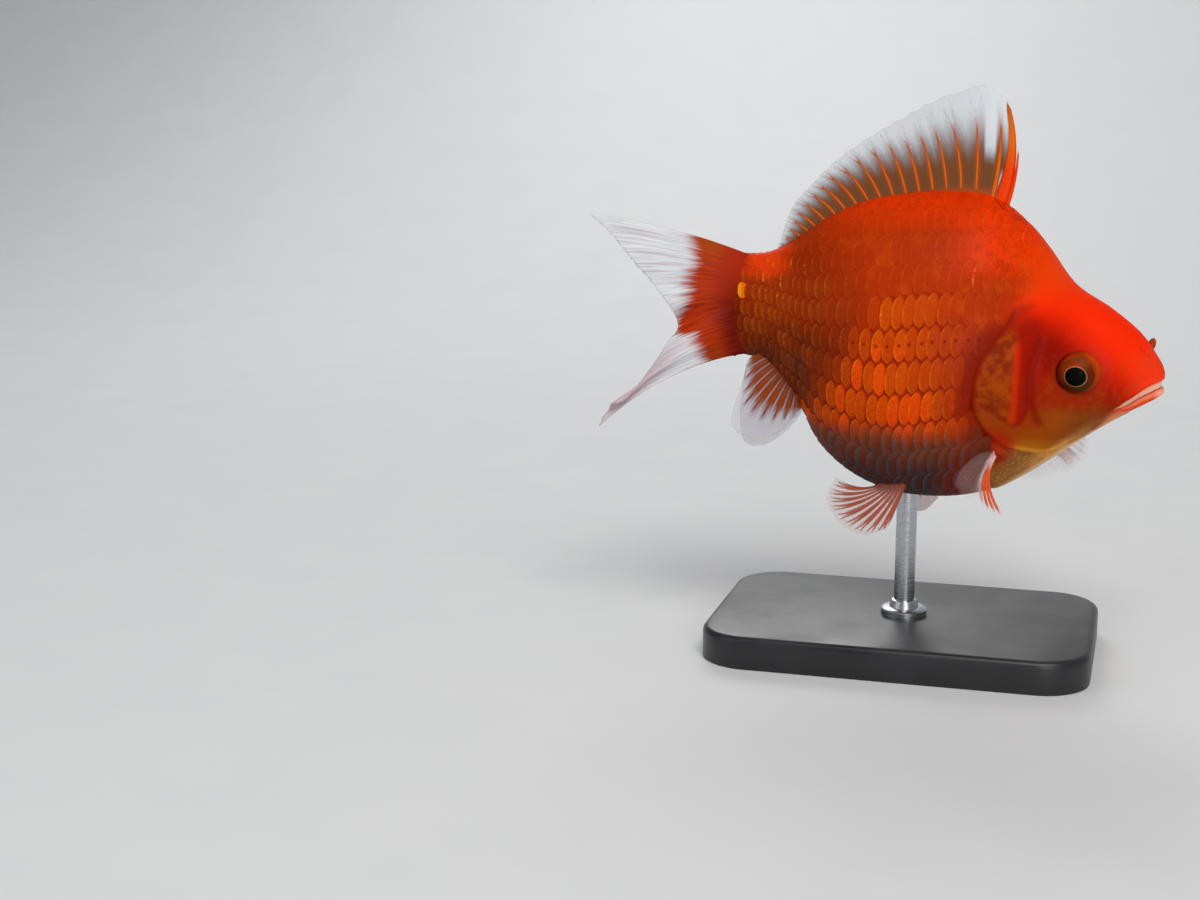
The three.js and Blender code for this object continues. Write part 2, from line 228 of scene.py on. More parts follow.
# %% Distance from a line


def curve(points, steps=64):
    """A fine row of [x, z] points on a smooth curve through a few."""
    return through(points, np.linspace(0, len(points) - 1, steps + 1))


def beside(line, x, z):
    """How far points lie from a line, positive on its left as it runs, and how far along it."""
    start, step = line[:-1], np.diff(line, axis=0)
    from_x = x[:, None] - start[:, 0]
    from_z = z[:, None] - start[:, 1]
    share = (from_x * step[:, 0] + from_z * step[:, 1]) / (step**2).sum(1)
    share = np.clip(share, 0, 1)
    away = np.hypot(from_x - share * step[:, 0], from_z - share * step[:, 1])
    nearest = away.argmin(1)
    rows = np.arange(len(x))
    left = (
        step[nearest, 0] * from_z[rows, nearest]
        - step[nearest, 1] * from_x[rows, nearest]
    )
    along = (nearest + share[rows, nearest]) / len(start)
    return away[rows, nearest] * np.where(left > 0, 1, -1), along


trial, _ = beside(curve([(0, 0), (9, 0)]), np.array([3.0]), np.array([-2.0]))
print("2 mm right of a line:", round(float(trial[0]), 2))


# %% [markdown]
# The head's line is where the scales begin. It runs from the nape round behind the gill cover and down
# the breast. The gill cover's edge follows it at first, and then turns forward under the cheek.

# %% Lines of the gill cover
HEAD_LINE = curve(
    [
        (36.2, 28.0), (37.6, 19.0), (39.2, 13.0), (39.6, 9.0), (38.2, 5.8), (36.0, 4.0),
        (33.5, 2.6), (30.8, -1.2), (27.2, -6.4), (25.2, -11.0), (24.7, -15.0), (24.9, -19.0),
        (26.4, -22.6), (28.8, -26.2), (30.0, -29.6), (29.8, -34.0), (29.8, -40.0),
        (30.0, -46.0),
    ],
    96,
)
GILL_EDGE = curve(
    [
        (36.5, 4.4), (33.5, 2.9), (32.0, 0.8), (29.0, -3.5), (26.6, -7.2), (25.1, -11.2),
        (24.7, -15.0), (24.9, -19.0), (26.4, -22.6), (29.4, -26.4), (33.0, -28.9),
        (38.6, -30.6), (44.0, -29.8), (50.0, -26.8),
    ],
    96,
)
print("gill edge runs to x, mm:", round(float(GILL_EDGE[:, 0].min()), 1))

# %% [markdown]
# One groove parts the gill cover from the cheek, and another crosses its lower part. A low ridge runs down
# the cover, and a fold of the throat lies below.

# %% Grooves, ridge and fold
CHEEK_GROOVE = curve(
    [
        (38.8, -3.7), (37.9, -7.0), (37.0, -10.1), (37.0, -14.3), (37.0, -17.8), (37.9, -20.2),
        (39.3, -23.4),
    ]
)
LOWER_GROOVE = curve(
    [
        (25.7, -17.8), (28.5, -19.8), (31.3, -21.9), (33.5, -23.6), (35.5, -22.5),
        (36.6, -20.0), (37.0, -17.8),
    ]
)
COVER_RIDGE = curve([(33.9, -4.6), (33.8, -10.0), (33.7, -16.0), (33.4, -21.8)])
THROAT_FOLD = curve([(32.2, -27.9), (35.5, -29.1), (39.7, -30.0), (42.9, -29.7), (45.1, -28.0)])
print("ridge's length, mm:", round(float(np.hypot(*(COVER_RIDGE[0] - COVER_RIDGE[-1]))), 1))

# %% [markdown]
# The mouth slopes down to the rear. Three lines bound its two parts: a pale recessed band under the snout,
# and the roll of the lower lip.

# %% Lines of the mouth
UPPER_LIP = curve(
    [
        (66.9, -13.1), (66.1, -13.4), (63.7, -14.4), (61.8, -15.6), (59.7, -17.2),
        (58.0, -18.3), (56.6, -19.6),
    ]
)
MOUTH_LINE = curve(
    [
        (67.0, -15.2), (65.6, -15.7), (63.5, -16.8), (61.4, -17.9), (59.5, -19.2),
        (57.6, -20.1), (56.1, -20.7),
    ]
)
LOWER_LIP = curve(
    [
        (66.8, -16.4), (66.1, -17.0), (64.9, -18.0), (63.3, -19.0), (61.2, -20.2),
        (59.0, -21.1), (56.0, -21.5),
    ]
)
mouth_length = np.hypot(*(MOUTH_LINE[0] - MOUTH_LINE[-1]))
print("mouth's length, mm:", round(float(mouth_length), 1))

# %% [markdown]
# ## Relief of the skin
#
# Relief could be sculpted or left to a bump in the material. Here it is real geometry, worked out from
# the lines: each feature says how far the skin stands out from the solids' surface. It also leaves a mask,
# a number from 0 to 1 at each point of the skin, which the skin's colours read later.
#
# The gill cover comes first. Its rear edge stands up from the trunk, two grooves and a ridge cross it, and
# a fold runs below it.

# %% Relief of the gill cover


def gill_relief(x, z):
    """Heights and masks of the gill cover, its grooves, its ridge and the fold below it."""
    from_gill, _ = beside(GILL_EDGE, x, z)
    from_cheek, _ = beside(CHEEK_GROOVE, x, z)
    from_lower, _ = beside(LOWER_GROOVE, x, z)
    from_ridge, _ = beside(COVER_RIDGE, x, z)
    from_fold, _ = beside(THROAT_FOLD, x, z)
    open_edge = smooth_step(z, 4.8, 0.5) * smooth_step(x, 50, 40)
    on_cover = smooth_step(from_gill, -0.25, 0.15) * open_edge
    height = 0.5 * on_cover * np.exp(-np.maximum(from_gill, 0) / 6)
    height -= 0.4 * hill(from_gill + 0.7, 0.55) * open_edge
    height -= 0.42 * hill(from_cheek, 0.75)
    height += 0.16 * hill(from_cheek - 1.8, 0.9)
    height -= 0.28 * hill(from_lower, 0.36)
    height += 0.12 * hill(from_ridge, 1.0)
    height += 0.4 * hill(np.hypot(x - 30, (z + 12) * 0.8), 5)
    folds = smooth_step(x, 30, 34) * smooth_step(x, 53, 46) * smooth_step(z, -20, -26)
    height += 0.16 * hill(from_fold, 0.35) * folds
    height -= 0.14 * hill(from_fold + 0.8, 0.35) * folds
    height -= 0.14 * hill(from_fold - 0.9, 0.35) * folds

    below_groove = smooth_step(from_lower, 0.2, -0.2) * smooth_step(z, -19, -20)
    edge_shade = smooth_step(z, 5.6, 2.6) * smooth_step(z, -23, -17)
    off_cover = smooth_step(from_gill, 0.1, -0.4)
    masks = {
        "cover": on_cover * smooth_step(x, 34.4, 32.8) * smooth_step(z, 0.5, -3.5),
        "lower_cover": on_cover * below_groove,
        "ridge": hill(from_ridge, 0.8),
        "fold": folds * hill(from_fold, 0.5),
        "groove": np.clip(hill(from_cheek, 1.0) + 0.8 * hill(from_lower, 0.45), 0, 1),
        "gill_edge": hill(from_gill + 0.1, 0.9) * edge_shade,
        "breast": off_cover * smooth_step(x, 26.5, 30.5) * smooth_step(z, -27, -29),
    }
    return height, masks


trial, _ = gill_relief(np.array([25.0]), np.array([-13.0]))
print("gill cover's edge stands up, mm:", round(float(trial[0]), 2))


# %% [markdown]
# A shallow bowl surrounds each eye, and inside it a deep socket takes the eyeball. The eye's place and
# size come from its solid.

# %% Relief round the eye
eye_low, eye_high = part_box("eye_right")
EYE_X = (eye_low.x + eye_high.x - 2 * fish_origin.x) / 2 / MM
EYE_Y = -(eye_low.y + eye_high.y) / 2 / MM
EYE_Z = (eye_low.z + eye_high.z - 2 * fish_origin.z) / 2 / MM
EYE_RADIUS = (eye_high.z - eye_low.z) / 2 / MM
print("eye's radius, mm:", round(EYE_RADIUS, 2))


def eye_relief(x, z):
    """Heights and masks of the bowl and the socket."""
    from_eye = np.hypot(x - EYE_X, z - EYE_Z)
    height = -0.42 * smooth_step(from_eye, 8.2, 5.0)
    height += 0.06 * hill(from_eye - 7.6, 1.1)
    height -= 2.8 * smooth_step(from_eye, 4.8, 4.2)
    # the socket's mask carries painted shadow, strongest behind and below the eye
    behind_eye = (EYE_X - x + EYE_Z - z) / 1.42 / np.maximum(from_eye, 0.1)
    shade = 0.35 + 0.65 * smooth_step(behind_eye, -0.5, 0.6)
    return height, {"socket": smooth_step(from_eye, 6.4, 5.0) * shade}


# %% [markdown]
# The snout overhangs the mouth. Under it lies the recessed band, then the slit of the mouth, and then the
# lower lip, which is a roll that gets fuller towards the front. The nostrils are pits in the snout.

# %% Relief of the mouth


def mouth_relief(x, side, z):
    """Heights and masks of the lips, the mouth and the nostrils. side is the distance from the midline."""
    from_upper, _ = beside(UPPER_LIP, x, z)
    from_mouth, _ = beside(MOUTH_LINE, x, z)
    from_under, _ = beside(LOWER_LIP, x, z)
    mouth = smooth_step(x, 55.4, 57.4)
    band = smooth_step(from_upper, -0.1, 0.25) * smooth_step(from_mouth, 0.15, -0.1)
    lip = smooth_step(from_mouth, -0.05, 0.2) * smooth_step(from_under, 0.2, -0.15)
    fullness = smooth_step(x, 55.5, 61)
    roll = np.clip(from_mouth / np.maximum(from_mouth - from_under, 0.2), 0, 1)
    height = -mouth * 0.38 * band * smooth_step(x, 56, 62)
    height += mouth * 0.28 * hill(from_upper + 0.6, 0.8)
    height -= mouth * 0.6 * hill(from_mouth, 0.24)
    height += fullness * (0.32 + 0.2 * smooth_step(x, 61, 65)) * np.sin(pi * roll) * lip
    height -= fullness * 0.3 * hill(from_under - 0.25, 0.5)
    height -= 0.22 * hill(np.hypot(x - 56.4, z + 20.4), 1.0)

    nostril = np.sqrt((x - 61.4) ** 2 + (side - 4.0) ** 2 + (z + 6.0) ** 2)
    height -= 0.7 * hill(nostril, 0.75)

    lip_edges = smooth_step(roll, 0.55, 0.9) + 0.7 * smooth_step(roll, 0.32, 0.1)
    masks = {
        "band": mouth * band,
        "lip": mouth * lip,
        "lip_edge": mouth * lip * lip_edges,
        # the mouth's mask marks painted shade in the slit and in the nostril pits
        "mouth": np.clip(mouth * hill(from_mouth, 0.28) + 0.8 * hill(nostril, 0.6), 0, 1),
    }
    return height, masks


trial, _ = mouth_relief(np.array([63.0]), np.array([3.0]), np.array([-18.1]))
print("lower lip stands out, mm:", round(float(trial[0]), 2))


# %% [markdown]
# Behind the head's line the skin lies deeper than the solids, by the depth of the coat of scales. The
# head has no scales, so its skin keeps the solids' surface. The skin swells where a fin grows out of it,
# and the end of the stalk is pressed in between the two sheets of the tail.

# %% Relief as a whole
COAT_DEPTH = 0.75
# place in the fish's millimetres, swell and width
FIN_BASES = (
    ((31.2, 14.4, -29.4), 1.1, 2.2),
    ((6.6, 9.2, -40.4), 0.7, 2.4),
    ((-22.6, 2.8, -16.8), 0.6, 2.4),
)


def stalk_sink(points):
    """How far the sides of the stalk's end sink between the two sheets of the tail."""
    near_end = smooth_step(points[..., 0], -32.5, -38.5)
    return 1.6 * near_end * smooth_step(np.abs(points[..., 1]), 0, 1.5)


def coat_depth(x, z):
    """How deep the skin lies under the scales. They begin softly on the nape, and sharply elsewhere."""
    on_head, _ = beside(HEAD_LINE, x, z)
    softness = 0.9 + 7 * smooth_step(z, -6, 12) + 2 * smooth_step(z, -28, -33)
    scaled = smooth_step(-on_head / softness, 0, 1)
    return COAT_DEPTH * np.where(x < 20, 1.0, np.where(x > 44, 0.0, scaled))


def relief(points):
    """How far the skin stands out from the solids' surface, and masks for its colours, by name."""
    x, y, z = points.T
    side = np.abs(y)
    height = -coat_depth(x, z) - stalk_sink(points)
    masks = {"nostril_flap": np.zeros_like(x)}
    for more, more_masks in (gill_relief(x, z), eye_relief(x, z), mouth_relief(x, side, z)):
        height += more
        masks.update(more_masks)
    crest = smooth_step(x, -27, -23) * smooth_step(x, 31, 27) * (z > 5)
    height += 0.6 * crest * hill(side, 1.7)
    for place, swell, width in FIN_BASES:
        away = np.linalg.norm(np.stack([x, side, z], 1) - np.array(place), axis=1)
        height += swell * hill(away, width)
    return height, masks


trial, _ = relief(np.array([[0.0, 20.0, 0.0]]))
print("skin under the flank's scales, mm:", round(float(trial[0]), 2))


# %% [markdown]
# ## The skin
#
# Two helpers come first. One puts a mesh in the scene, hides the solids that it stands for, and counts its
# triangles, and the other turns a bmesh into a mesh.

# %% Pieces


def add_object(name, mesh, nodes=()):
    """Puts a mesh in the scene as a piece of the fish or its stand."""
    piece = bpy.data.objects.new(name, mesh)
    bpy.context.scene.collection.objects.link(piece)
    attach(piece, "root")
    if nodes:
        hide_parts(*nodes)
    triangles = sum(len(p.vertices) - 2 for p in mesh.polygons)
    print(f"{name}: {triangles} triangles")
    return piece


def to_mesh(shape, name):
    """A finished bmesh as a smooth mesh."""
    mesh = bpy.data.meshes.new(name)
    shape.to_mesh(mesh)
    shape.free()
    mesh.shade_smooth()
    return mesh


# %% [markdown]
# The skin could be joined from strips, but a sphere already has what it needs: rings from pole to pole and
# no seam. Its poles become the mouth and the end of the tail stalk, and its rings are moved onto the ribs,
# closer together on the head, where the detail is. The relief is then pushed out along the surface.

# %% Make the skin
SKIN_AROUND = 256
SKIN_RINGS = 320
HEAD_DETAIL = 1.35  # above 1, the rings crowd towards the mouth

shape = bmesh.new()
bmesh.ops.create_uvsphere(shape, u_segments=SKIN_AROUND, v_segments=SKIN_RINGS, radius=1)
ball = np.array([v.co for v in shape.verts])
ring = np.arccos(np.clip(ball[:, 2], -1, 1)) / pi
skin_u = LAST_RIB * ring**HEAD_DETAIL
skin_angle = np.arctan2(ball[:, 1], ball[:, 0])
surface = body_points(skin_u, skin_angle)
for vert, place in zip(shape.verts, surface):
    vert.co = place
bmesh.ops.recalc_face_normals(shape, faces=shape.faces)
shape.normal_update()
facing = np.array([v.normal for v in shape.verts])
height, masks = relief(surface)
for vert, place in zip(shape.verts, in_frame(surface + facing * height[:, None])):
    vert.co = place
for name in masks:
    shape.verts.layers.float.new(name)
for name, values in masks.items():
    layer = shape.verts.layers.float[name]
    for vert, value in zip(shape.verts, values):
        vert[layer] = value
print("skin's relief, mm:", round(float(height.min()), 2), "to", round(float(height.max()), 2))

# %% [markdown]
# A small flap of skin stands over each nostril. It is a flattened ball, sunk into the snout and joined to
# the same skin. On this fish the left one stands up and the right one lies nearly flat.

# %% Nostril flaps
FLAP_RIB = 2.48
FLAP_ANGLE = radians(34)
FLAP_LEAN = radians(20)
flap_layer = shape.verts.layers.float["nostril_flap"]
# the fish's side, how far the flap's middle stands out, its height and its share of the flap's colour
for side, rise, tall, colour_share in ((1, 0.75, 2.0, 1.0), (-1, -0.35, 1.1, 0.0)):
    at_u, at_angle = np.array([FLAP_RIB]), np.array([FLAP_ANGLE * side])
    foot = body_points(at_u, at_angle)[0]
    normal = Vector(body_normals(at_u, at_angle)[0]) * rise
    place = (
        Matrix.Translation(Vector(in_frame([foot])[0]) + normal * MM)
        @ Euler((0, FLAP_LEAN, 0)).to_matrix().to_4x4()
        @ Matrix.Diagonal((1.0 * MM, 1.1 * MM, tall * MM, 1))
    )
    flap = bmesh.ops.create_uvsphere(shape, u_segments=20, v_segments=14, radius=1, matrix=place)
    for vert in flap["verts"]:
        vert[flap_layer] = colour_share

skin = add_object(
    "skin",
    to_mesh(shape, "skin"),
    (
        "head",
        "lower_jaw",
        "gill_cover_left",
        "gill_cover_right",
        "nostril_flap_left",
        "nostril_flap_right",
        "trunk",
        "tail_stalk",
    ),
)

# %% [markdown]
# ## The scales
#
# A goldfish has about a dozen rows of scales on each side, some twenty-five scales long. Each scale is a
# thin rounded plate: its root is under the scales ahead of it, and only its rear part shows. Scales could
# be a bump in the skin's material, but plates of real mesh catch the light and keep their shape in any
# copy of the model.
#
# A row keeps its share of the way from back to belly. The angle at such a share comes from a table of
# lengths round each rib.

# %% Shares of the way round the body
TABLE_U = np.linspace(0.05, LAST_RIB - 0.05, 120)
TABLE_SHARE = np.linspace(0, 1, 41)


def angle_table():
    """Angles at even shares of the way round, and the way's whole length, for each rib of the table."""
    fine = np.linspace(0, pi, 181)
    rows, lengths = [], []
    for u in TABLE_U:
        points = body_points(np.full_like(fine, u), fine)
        steps = np.linalg.norm(np.diff(points, axis=0), axis=1)
        walked = np.append(0, steps.cumsum())
        rows.append(np.interp(TABLE_SHARE, walked / walked[-1], fine))
        lengths.append(walked[-1])
    return np.array(rows), np.array(lengths)


ANGLES, HALF_GIRTHS = angle_table()
print("widest half girth, mm:", round(float(HALF_GIRTHS.max()), 1))


def angle_at(u, share):
    """The angle that lies a share of the way from the back to the belly."""
    at = (np.clip(u, TABLE_U[0], TABLE_U[-1]) - TABLE_U[0]) / (TABLE_U[1] - TABLE_U[0])
    i = np.minimum(at.astype(int), len(TABLE_U) - 2)
    to = np.clip(share, 0, 1) * (len(TABLE_SHARE) - 1)
    j = np.minimum(to.astype(int), len(TABLE_SHARE) - 2)
    f, g = at - i, to - j
    this_rib = ANGLES[i, j] * (1 - g) + ANGLES[i, j + 1] * g
    next_rib = ANGLES[i + 1, j] * (1 - g) + ANGLES[i + 1, j + 1] * g
    return this_rib * (1 - f) + next_rib * f


# %% [markdown]
# One scale is made first, flat, as a template: a grid a few faces across, given a thickness. Its x says
# how far across the scale a point is, its y how far back from the root, and its z top or bottom.

# %% One scale
ACROSS_FACES = 8
BACK_FACES = 3
shape = bmesh.new()
bmesh.ops.create_grid(shape, x_segments=ACROSS_FACES, y_segments=BACK_FACES, size=1)
for vert in shape.verts:
    vert.co.y = 0.5 + vert.co.y / 2
bmesh.ops.solidify(shape, geom=shape.faces[:], thickness=1)
bmesh.ops.recalc_face_normals(shape, faces=shape.faces)
scale_template = to_mesh(shape, "scale template")
template = np.array([v.co for v in scale_template.vertices])
# the power crowds the faces towards the sides and the free edge, where the outline bends
template_across = np.sign(template[:, 0]) * np.abs(template[:, 0]) ** 0.8
template_back = template[:, 1] ** 0.8
template_top = (template[:, 2] > template[:, 2].mean()).astype(float)
print("faces in a scale:", len(scale_template.polygons))

# %% [markdown]
# The lateral line is the middle row, and the other rows lie beside it. It rises a little towards the head.
# Where the body narrows to the tail stalk the rows are wider apart in shares, so the outer ones run out.
# Distances along a row are measured on the flank, from the nape to the stalk's end.

# %% Rows of scales
MIDDLE_ROW = 6
ROWS = 14
FIRST_RIB, END_RIB = 4, 16.6
WALK_STEPS = 500

ribs_walked = np.linspace(FIRST_RIB, END_RIB, WALK_STEPS)
flank = body_points(ribs_walked, np.full(WALK_STEPS, pi * 0.52))
walked = np.append(0, np.linalg.norm(np.diff(flank, axis=0), axis=1).cumsum())


def rib_at(distance):
    """The rib that lies a distance along the flank."""
    return np.interp(distance, walked, ribs_walked)


def row_step(u):
    """How much of the half girth lies between one row and the next."""
    wide = 0.082 + 0.004 * smooth_step(u, 8.5, 10)
    return wide + 0.052 * smooth_step(u, 12, 15.2)


def row_share(u, row):
    """Where a row lies on the way from back to belly."""
    lateral = 0.467 - 0.018 * np.clip(10 - u, 0, 10) + 0.033 * smooth_step(u, 10, 14)
    return lateral + (row - MIDDLE_ROW) * row_step(u)


print("flank's length, mm:", round(float(walked[-1]), 1))

# %% [markdown]
# Plates on the lower flank and the belly stand out boldly. On the back and towards the head they lie
# nearly flush.

# %% How bold the scales are


def boldness(x, z):
    """How much the scales stand out at a place."""
    front = 24 + 2 * smooth_step(z, -12, -22)
    flank = smooth_step(z, 14, -2) * smooth_step(x - front, 9, -9)
    rear = smooth_step(x - 8.5 + 0.607 * (4 - z), -4.5, 2.5)
    belly = smooth_step(z, -22, -28) * smooth_step(x, 34, 26)
    faint = 0.1 + 0.22 * smooth_step(x, 0, -10) + 0.1 * smooth_step(z, 12, 4)
    most = np.maximum(flank * rear, belly * smooth_step(x, -24, -16))
    return (faint + (1 - faint) * most) * smooth_step(x, -37, -31)


print("boldness on back and flank:", [round(float(boldness(5.0, z)), 2) for z in (25.0, -10.0)])


# %% [markdown]
# The rows are walked from the head to the tail in steps that shrink towards the tail, and each row is
# shifted by half a step against the next. A scale is kept if its root lies behind the head's line and on
# its own side of the fish. The two sides meet in one line of scales along the middle of the belly, and of
# the back where there is no fin.

# %% Where the scales are rooted
COLUMN_STEP = 2.45


def scale_roots(side):
    """For each scale its root's distance along the flank and row, its rib, and its root's place."""
    roots = []
    place = 0.0
    while place < walked[-1]:
        step = COLUMN_STEP + 0.5 * hill(place - 56, 14) - 0.4 * smooth_step(place, 62, 78)
        for row in range(-1, ROWS + 1):
            roots.append((place + 0.5 * step * (row % 2), row))
        place += step
    roots = np.array(roots)
    u = rib_at(roots[:, 0])
    share = row_share(u, roots[:, 1])
    half_step = 0.34 * row_step(u)
    middle = body_points(u, angle_at(u, share) * side)
    x, z = middle[:, 0], middle[:, 2]
    behind = -beside(HEAD_LINE, x, z)[0]
    keep = ((behind > -1.5) | (x < 20)) & (x < 43) & (x > -34.2)
    keep &= (share > -half_step) & (share < 1 + half_step)
    # a scale across the midline belongs to the left side, and makes way for the fins
    midline = (share < half_step) | (share > 1 - half_step)
    clear = np.where(share < 0.5, (x > 30.5) | (x < -25.4), (x > -14) & (x < 31))
    keep &= ~midline | (clear & (side > 0))
    return roots[keep], u[keep], middle[keep]


print("scales on the left and right:", [len(scale_roots(side)[0]) for side in (1, -1)])


# %% [markdown]
# Each plate is bent onto the body. Its outline is a rounded oval, because its sides reach less far back
# than its middle. Its root dips below the scales ahead and its rear rises, more so where scales are bold.

# %% One scale on the body
SCALE_LENGTH = 6.2
SIDES_BACK = 3.5  # how much less far back the sides reach than the middle
HALF_WIDTH = 0.68  # of the way from one row to the next
FULL_GIRTH = 92  # half a girth at which scales have their full size
dice = np.random.default_rng(7)


def scale_points(roots, u, middle, side):
    """Every scale's points in the fish's millimetres, and how far each is from its own free edge."""
    bold = boldness(middle[:, 0], middle[:, 2])[:, None]
    size = np.sqrt(np.interp(u, TABLE_U, HALF_GIRTHS) / FULL_GIRTH)[:, None]
    jitter = dice.uniform(0.97, 1.04, len(u))[:, None]
    across = template_across[None, :]
    behind = template_back[None, :]
    full = SCALE_LENGTH * np.clip(size, 0.6, 1.05) * jitter
    reach = full - SIDES_BACK * np.clip(size, 0.6, 1) * np.abs(across) ** 3.6
    distance = reach * behind
    at_u = rib_at(roots[:, 0][:, None] + distance)
    share = row_share(at_u, roots[:, 1][:, None])
    share = share + across * HALF_WIDTH * row_step(at_u) * jitter
    # a scale on the midline laps over to the other side
    turned = np.where(share < 0, -1, 1) * np.where(share > 1, -1, 1)
    share = np.where(share < 0, -share, np.where(share > 1, 2 - share, share))
    angle = angle_at(at_u, share) * side * turned
    place = body_points(at_u, angle)
    normal = body_normals(at_u, angle)
    lift = 0.2 + 0.6 * bold
    rise = -0.2 + 0.26 * bold - lift * (1 - distance / full)
    rise = rise + 0.3 * bold * (1 - across**2) * smooth_step(behind, 0, 0.6)
    rise = rise - 0.16 * bold * smooth_step(behind, 0.7, 1.0)
    rise = rise - (0.04 + 0.1 * bold) * (1 - template_top[None, :])
    rise = rise - 0.6 * stalk_sink(place)
    place = place + normal * rise[..., None]
    return place, reach * (1 - behind), bold[:, 0]


print("a scale's sides are, mm:", round(SCALE_LENGTH - SIDES_BACK, 1))


# %% [markdown]
# All scales of a side are joined in one mesh. They need four maps. OFBake gives each scale a small patch
# of its own, at its root's place on an unwrap of the skin. ScaleMap says where a point is on its scale,
# ScaleTone gives the scale a chance number and its boldness, and ScaleMark marks the pores of the lateral
# line and the one golden scale.

# %% Lay the scales
PATCH = 0.003  # how wide a scale's patch is on OFBake
EDGE_UNIT = 10  # millimetres in one unit of ScaleMap
GOLDEN_SCALE = (-30.6, 5.8)  # x and z


def make_scales(name, side):
    """The joined scales of one side, which is 1 on the left and -1 on the right."""
    roots, u, middle = scale_roots(side)
    points, from_edge, bold = scale_points(roots, u, middle, side)
    count, corners = points.shape[:2]
    shape = bmesh.new()
    for _ in range(count):
        shape.from_mesh(scale_template)
    for vert, place in zip(shape.verts, in_frame(points.reshape(-1, 3))):
        vert.co = place
    if side < 0:
        bmesh.ops.reverse_faces(shape, faces=shape.faces)
    mesh = to_mesh(shape, name)
    mesh.set_sharp_from_angle(angle=radians(50))
    loop_vert = np.empty(len(mesh.loops), int)
    mesh.loops.foreach_get("vertex_index", loop_vert)
    scale_of, corner_of = loop_vert // corners, loop_vert % corners
    local = np.stack([template_across / 2 + 0.5, template_back], 1)[corner_of]
    share = row_share(u, roots[:, 1])
    spread = np.stack([u / LAST_RIB * 0.96 + 0.02, 0.5 + side * share * 0.48], 1)
    pores = (roots[:, 1] == MIDDLE_ROW) * smooth_step(middle[:, 0], -14, -2)
    golden = np.hypot(middle[:, 0] - GOLDEN_SCALE[0], middle[:, 2] - GOLDEN_SCALE[1])
    maps = {
        "OFBake": spread[scale_of] + (local - 0.5) * PATCH,
        "ScaleMap": np.stack([local[:, 0], from_edge.reshape(-1)[loop_vert] / EDGE_UNIT], 1),
        "ScaleTone": np.stack([dice.uniform(0, 1, count), bold], 1)[scale_of],
        "ScaleMark": np.stack([pores, golden == golden.min()], 1)[scale_of],
    }
    for map_name, values in maps.items():
        layer = mesh.uv_layers.new(name=map_name)
        layer.data.foreach_set("uv", values.astype(np.float32).ravel())
    print(name, "scales:", count)
    return add_object(name, mesh)


scales_left = make_scales("scales_left", 1)
scales_right = make_scales("scales_right", -1)

# %% [markdown]
# ## The fins
#
# A fin is a fan of rays with a membrane between them. It is told by a line of roots, a line along its edge
# and a bow that bends the rays, all from the first ray to the last. Any place on it then has a share s
# from first ray to last and a share t from root to edge, which serves the membrane, the rays and their
# colours alike.
#
# The dorsal fin stands on the back's midline, tall in front and low behind.

# %% Dorsal fin's shape
FINS = {
    "dorsal_fin": {
        "roots": [
            (26.8, 0, 25.0), (22.8, 0, 26.6), (17.2, 0, 26.8), (10.4, 0, 26.2), (4.2, 0, 24.8),
            (-1.4, 0, 22.8), (-6.4, 0, 20.2), (-12.6, 0, 16.4), (-22.4, 0, 11.4),
        ],
        "edge": [
            (27.6, 0.4, 50.2), (22.6, 0.6, 53.4), (11.6, 0.2, 50.0), (4.4, -0.5, 46.0),
            (-3.4, -0.6, 41.4), (-11.6, 0, 35.4), (-17.0, 0.6, 30.0), (-22.0, 0.4, 24.0),
            (-25.6, 0, 13.4),
        ],
        "bow": [
            (2.3, 0.4, 0.4), (0.7, 0, 0.3), (1.3, 0, 0.3), (0.9, 0, 0.4), (0.5, 0, 0.9),
            (0.5, 0, 1.6), (0.4, 0, 1.8), (0.4, 0, 1.0), (0.3, 0, 0.8),
        ],
    },
}
print("roots of the dorsal fin:", len(FINS["dorsal_fin"]["roots"]))

# %% [markdown]
# The pectoral fins sit low behind the gill covers, and the pelvic fins below the belly. The right pectoral
# fin is swept back and folded, and the left one reaches forward, as on a fish that brakes.

# %% Paired fins' shapes
FINS |= {
    "pectoral_fin_right": {
        "roots": [(32.6, -11.6, -27.6), (29.6, -11.4, -30.8)],
        "edge": [
            (33.2, -22.8, -44.2), (30.6, -24.6, -42.6), (28.2, -26.6, -40.2),
            (25.8, -28.6, -38.6), (23.6, -29.6, -37.0), (22.0, -29.8, -34.8),
            (23.2, -27.0, -31.8),
        ],
        "bow": [(-4.0, -1.5, 0.8), (-1.8, -2.0, 1.0), (0.2, -1.5, 1.8)],
    },
    "pectoral_fin_left": {
        "roots": [(32.6, 11.6, -27.6), (29.6, 11.4, -30.8)],
        "edge": [
            (49.6, 25.5, -33.8), (48.8, 28, -39.8), (43.0, 28.5, -44.2), (36.8, 26.5, -46.0),
            (31.6, 23.5, -44.6),
        ],
        "bow": [(0.6, 1.5, 1.6), (0.6, 1.5, 1.2)],
    },
    "pelvic_fin_right": {
        "roots": [(4.0, -7.6, -40.2), (9.0, -10.6, -39.6)],
        "edge": [
            (-7.4, -13, -38.6), (-9.0, -16, -42.0), (-8.0, -19, -45.4), (-4.4, -21, -48.8),
            (0.6, -21.5, -50.2), (5.8, -20, -49.0),
        ],
        "bow": [(0, -0.6, -1.8), (0, -1.4, -0.6)],
    },
    "pelvic_fin_left": {
        "roots": [(4.0, 7.6, -40.2), (9.0, 10.6, -39.6)],
        "edge": [
            (-2.6, 12, -45.0), (0.4, 14, -49.6), (5.0, 15.5, -52.2), (10.2, 16.5, -52.6),
            (13.6, 16.5, -49.4),
        ],
        "bow": [(0, 0.6, -1.4), (0.6, 1.4, -0.4)],
    },
}
print("fins so far:", len(FINS))

# %% [markdown]
# A ryukin has two anal fins side by side, under the tail stalk.

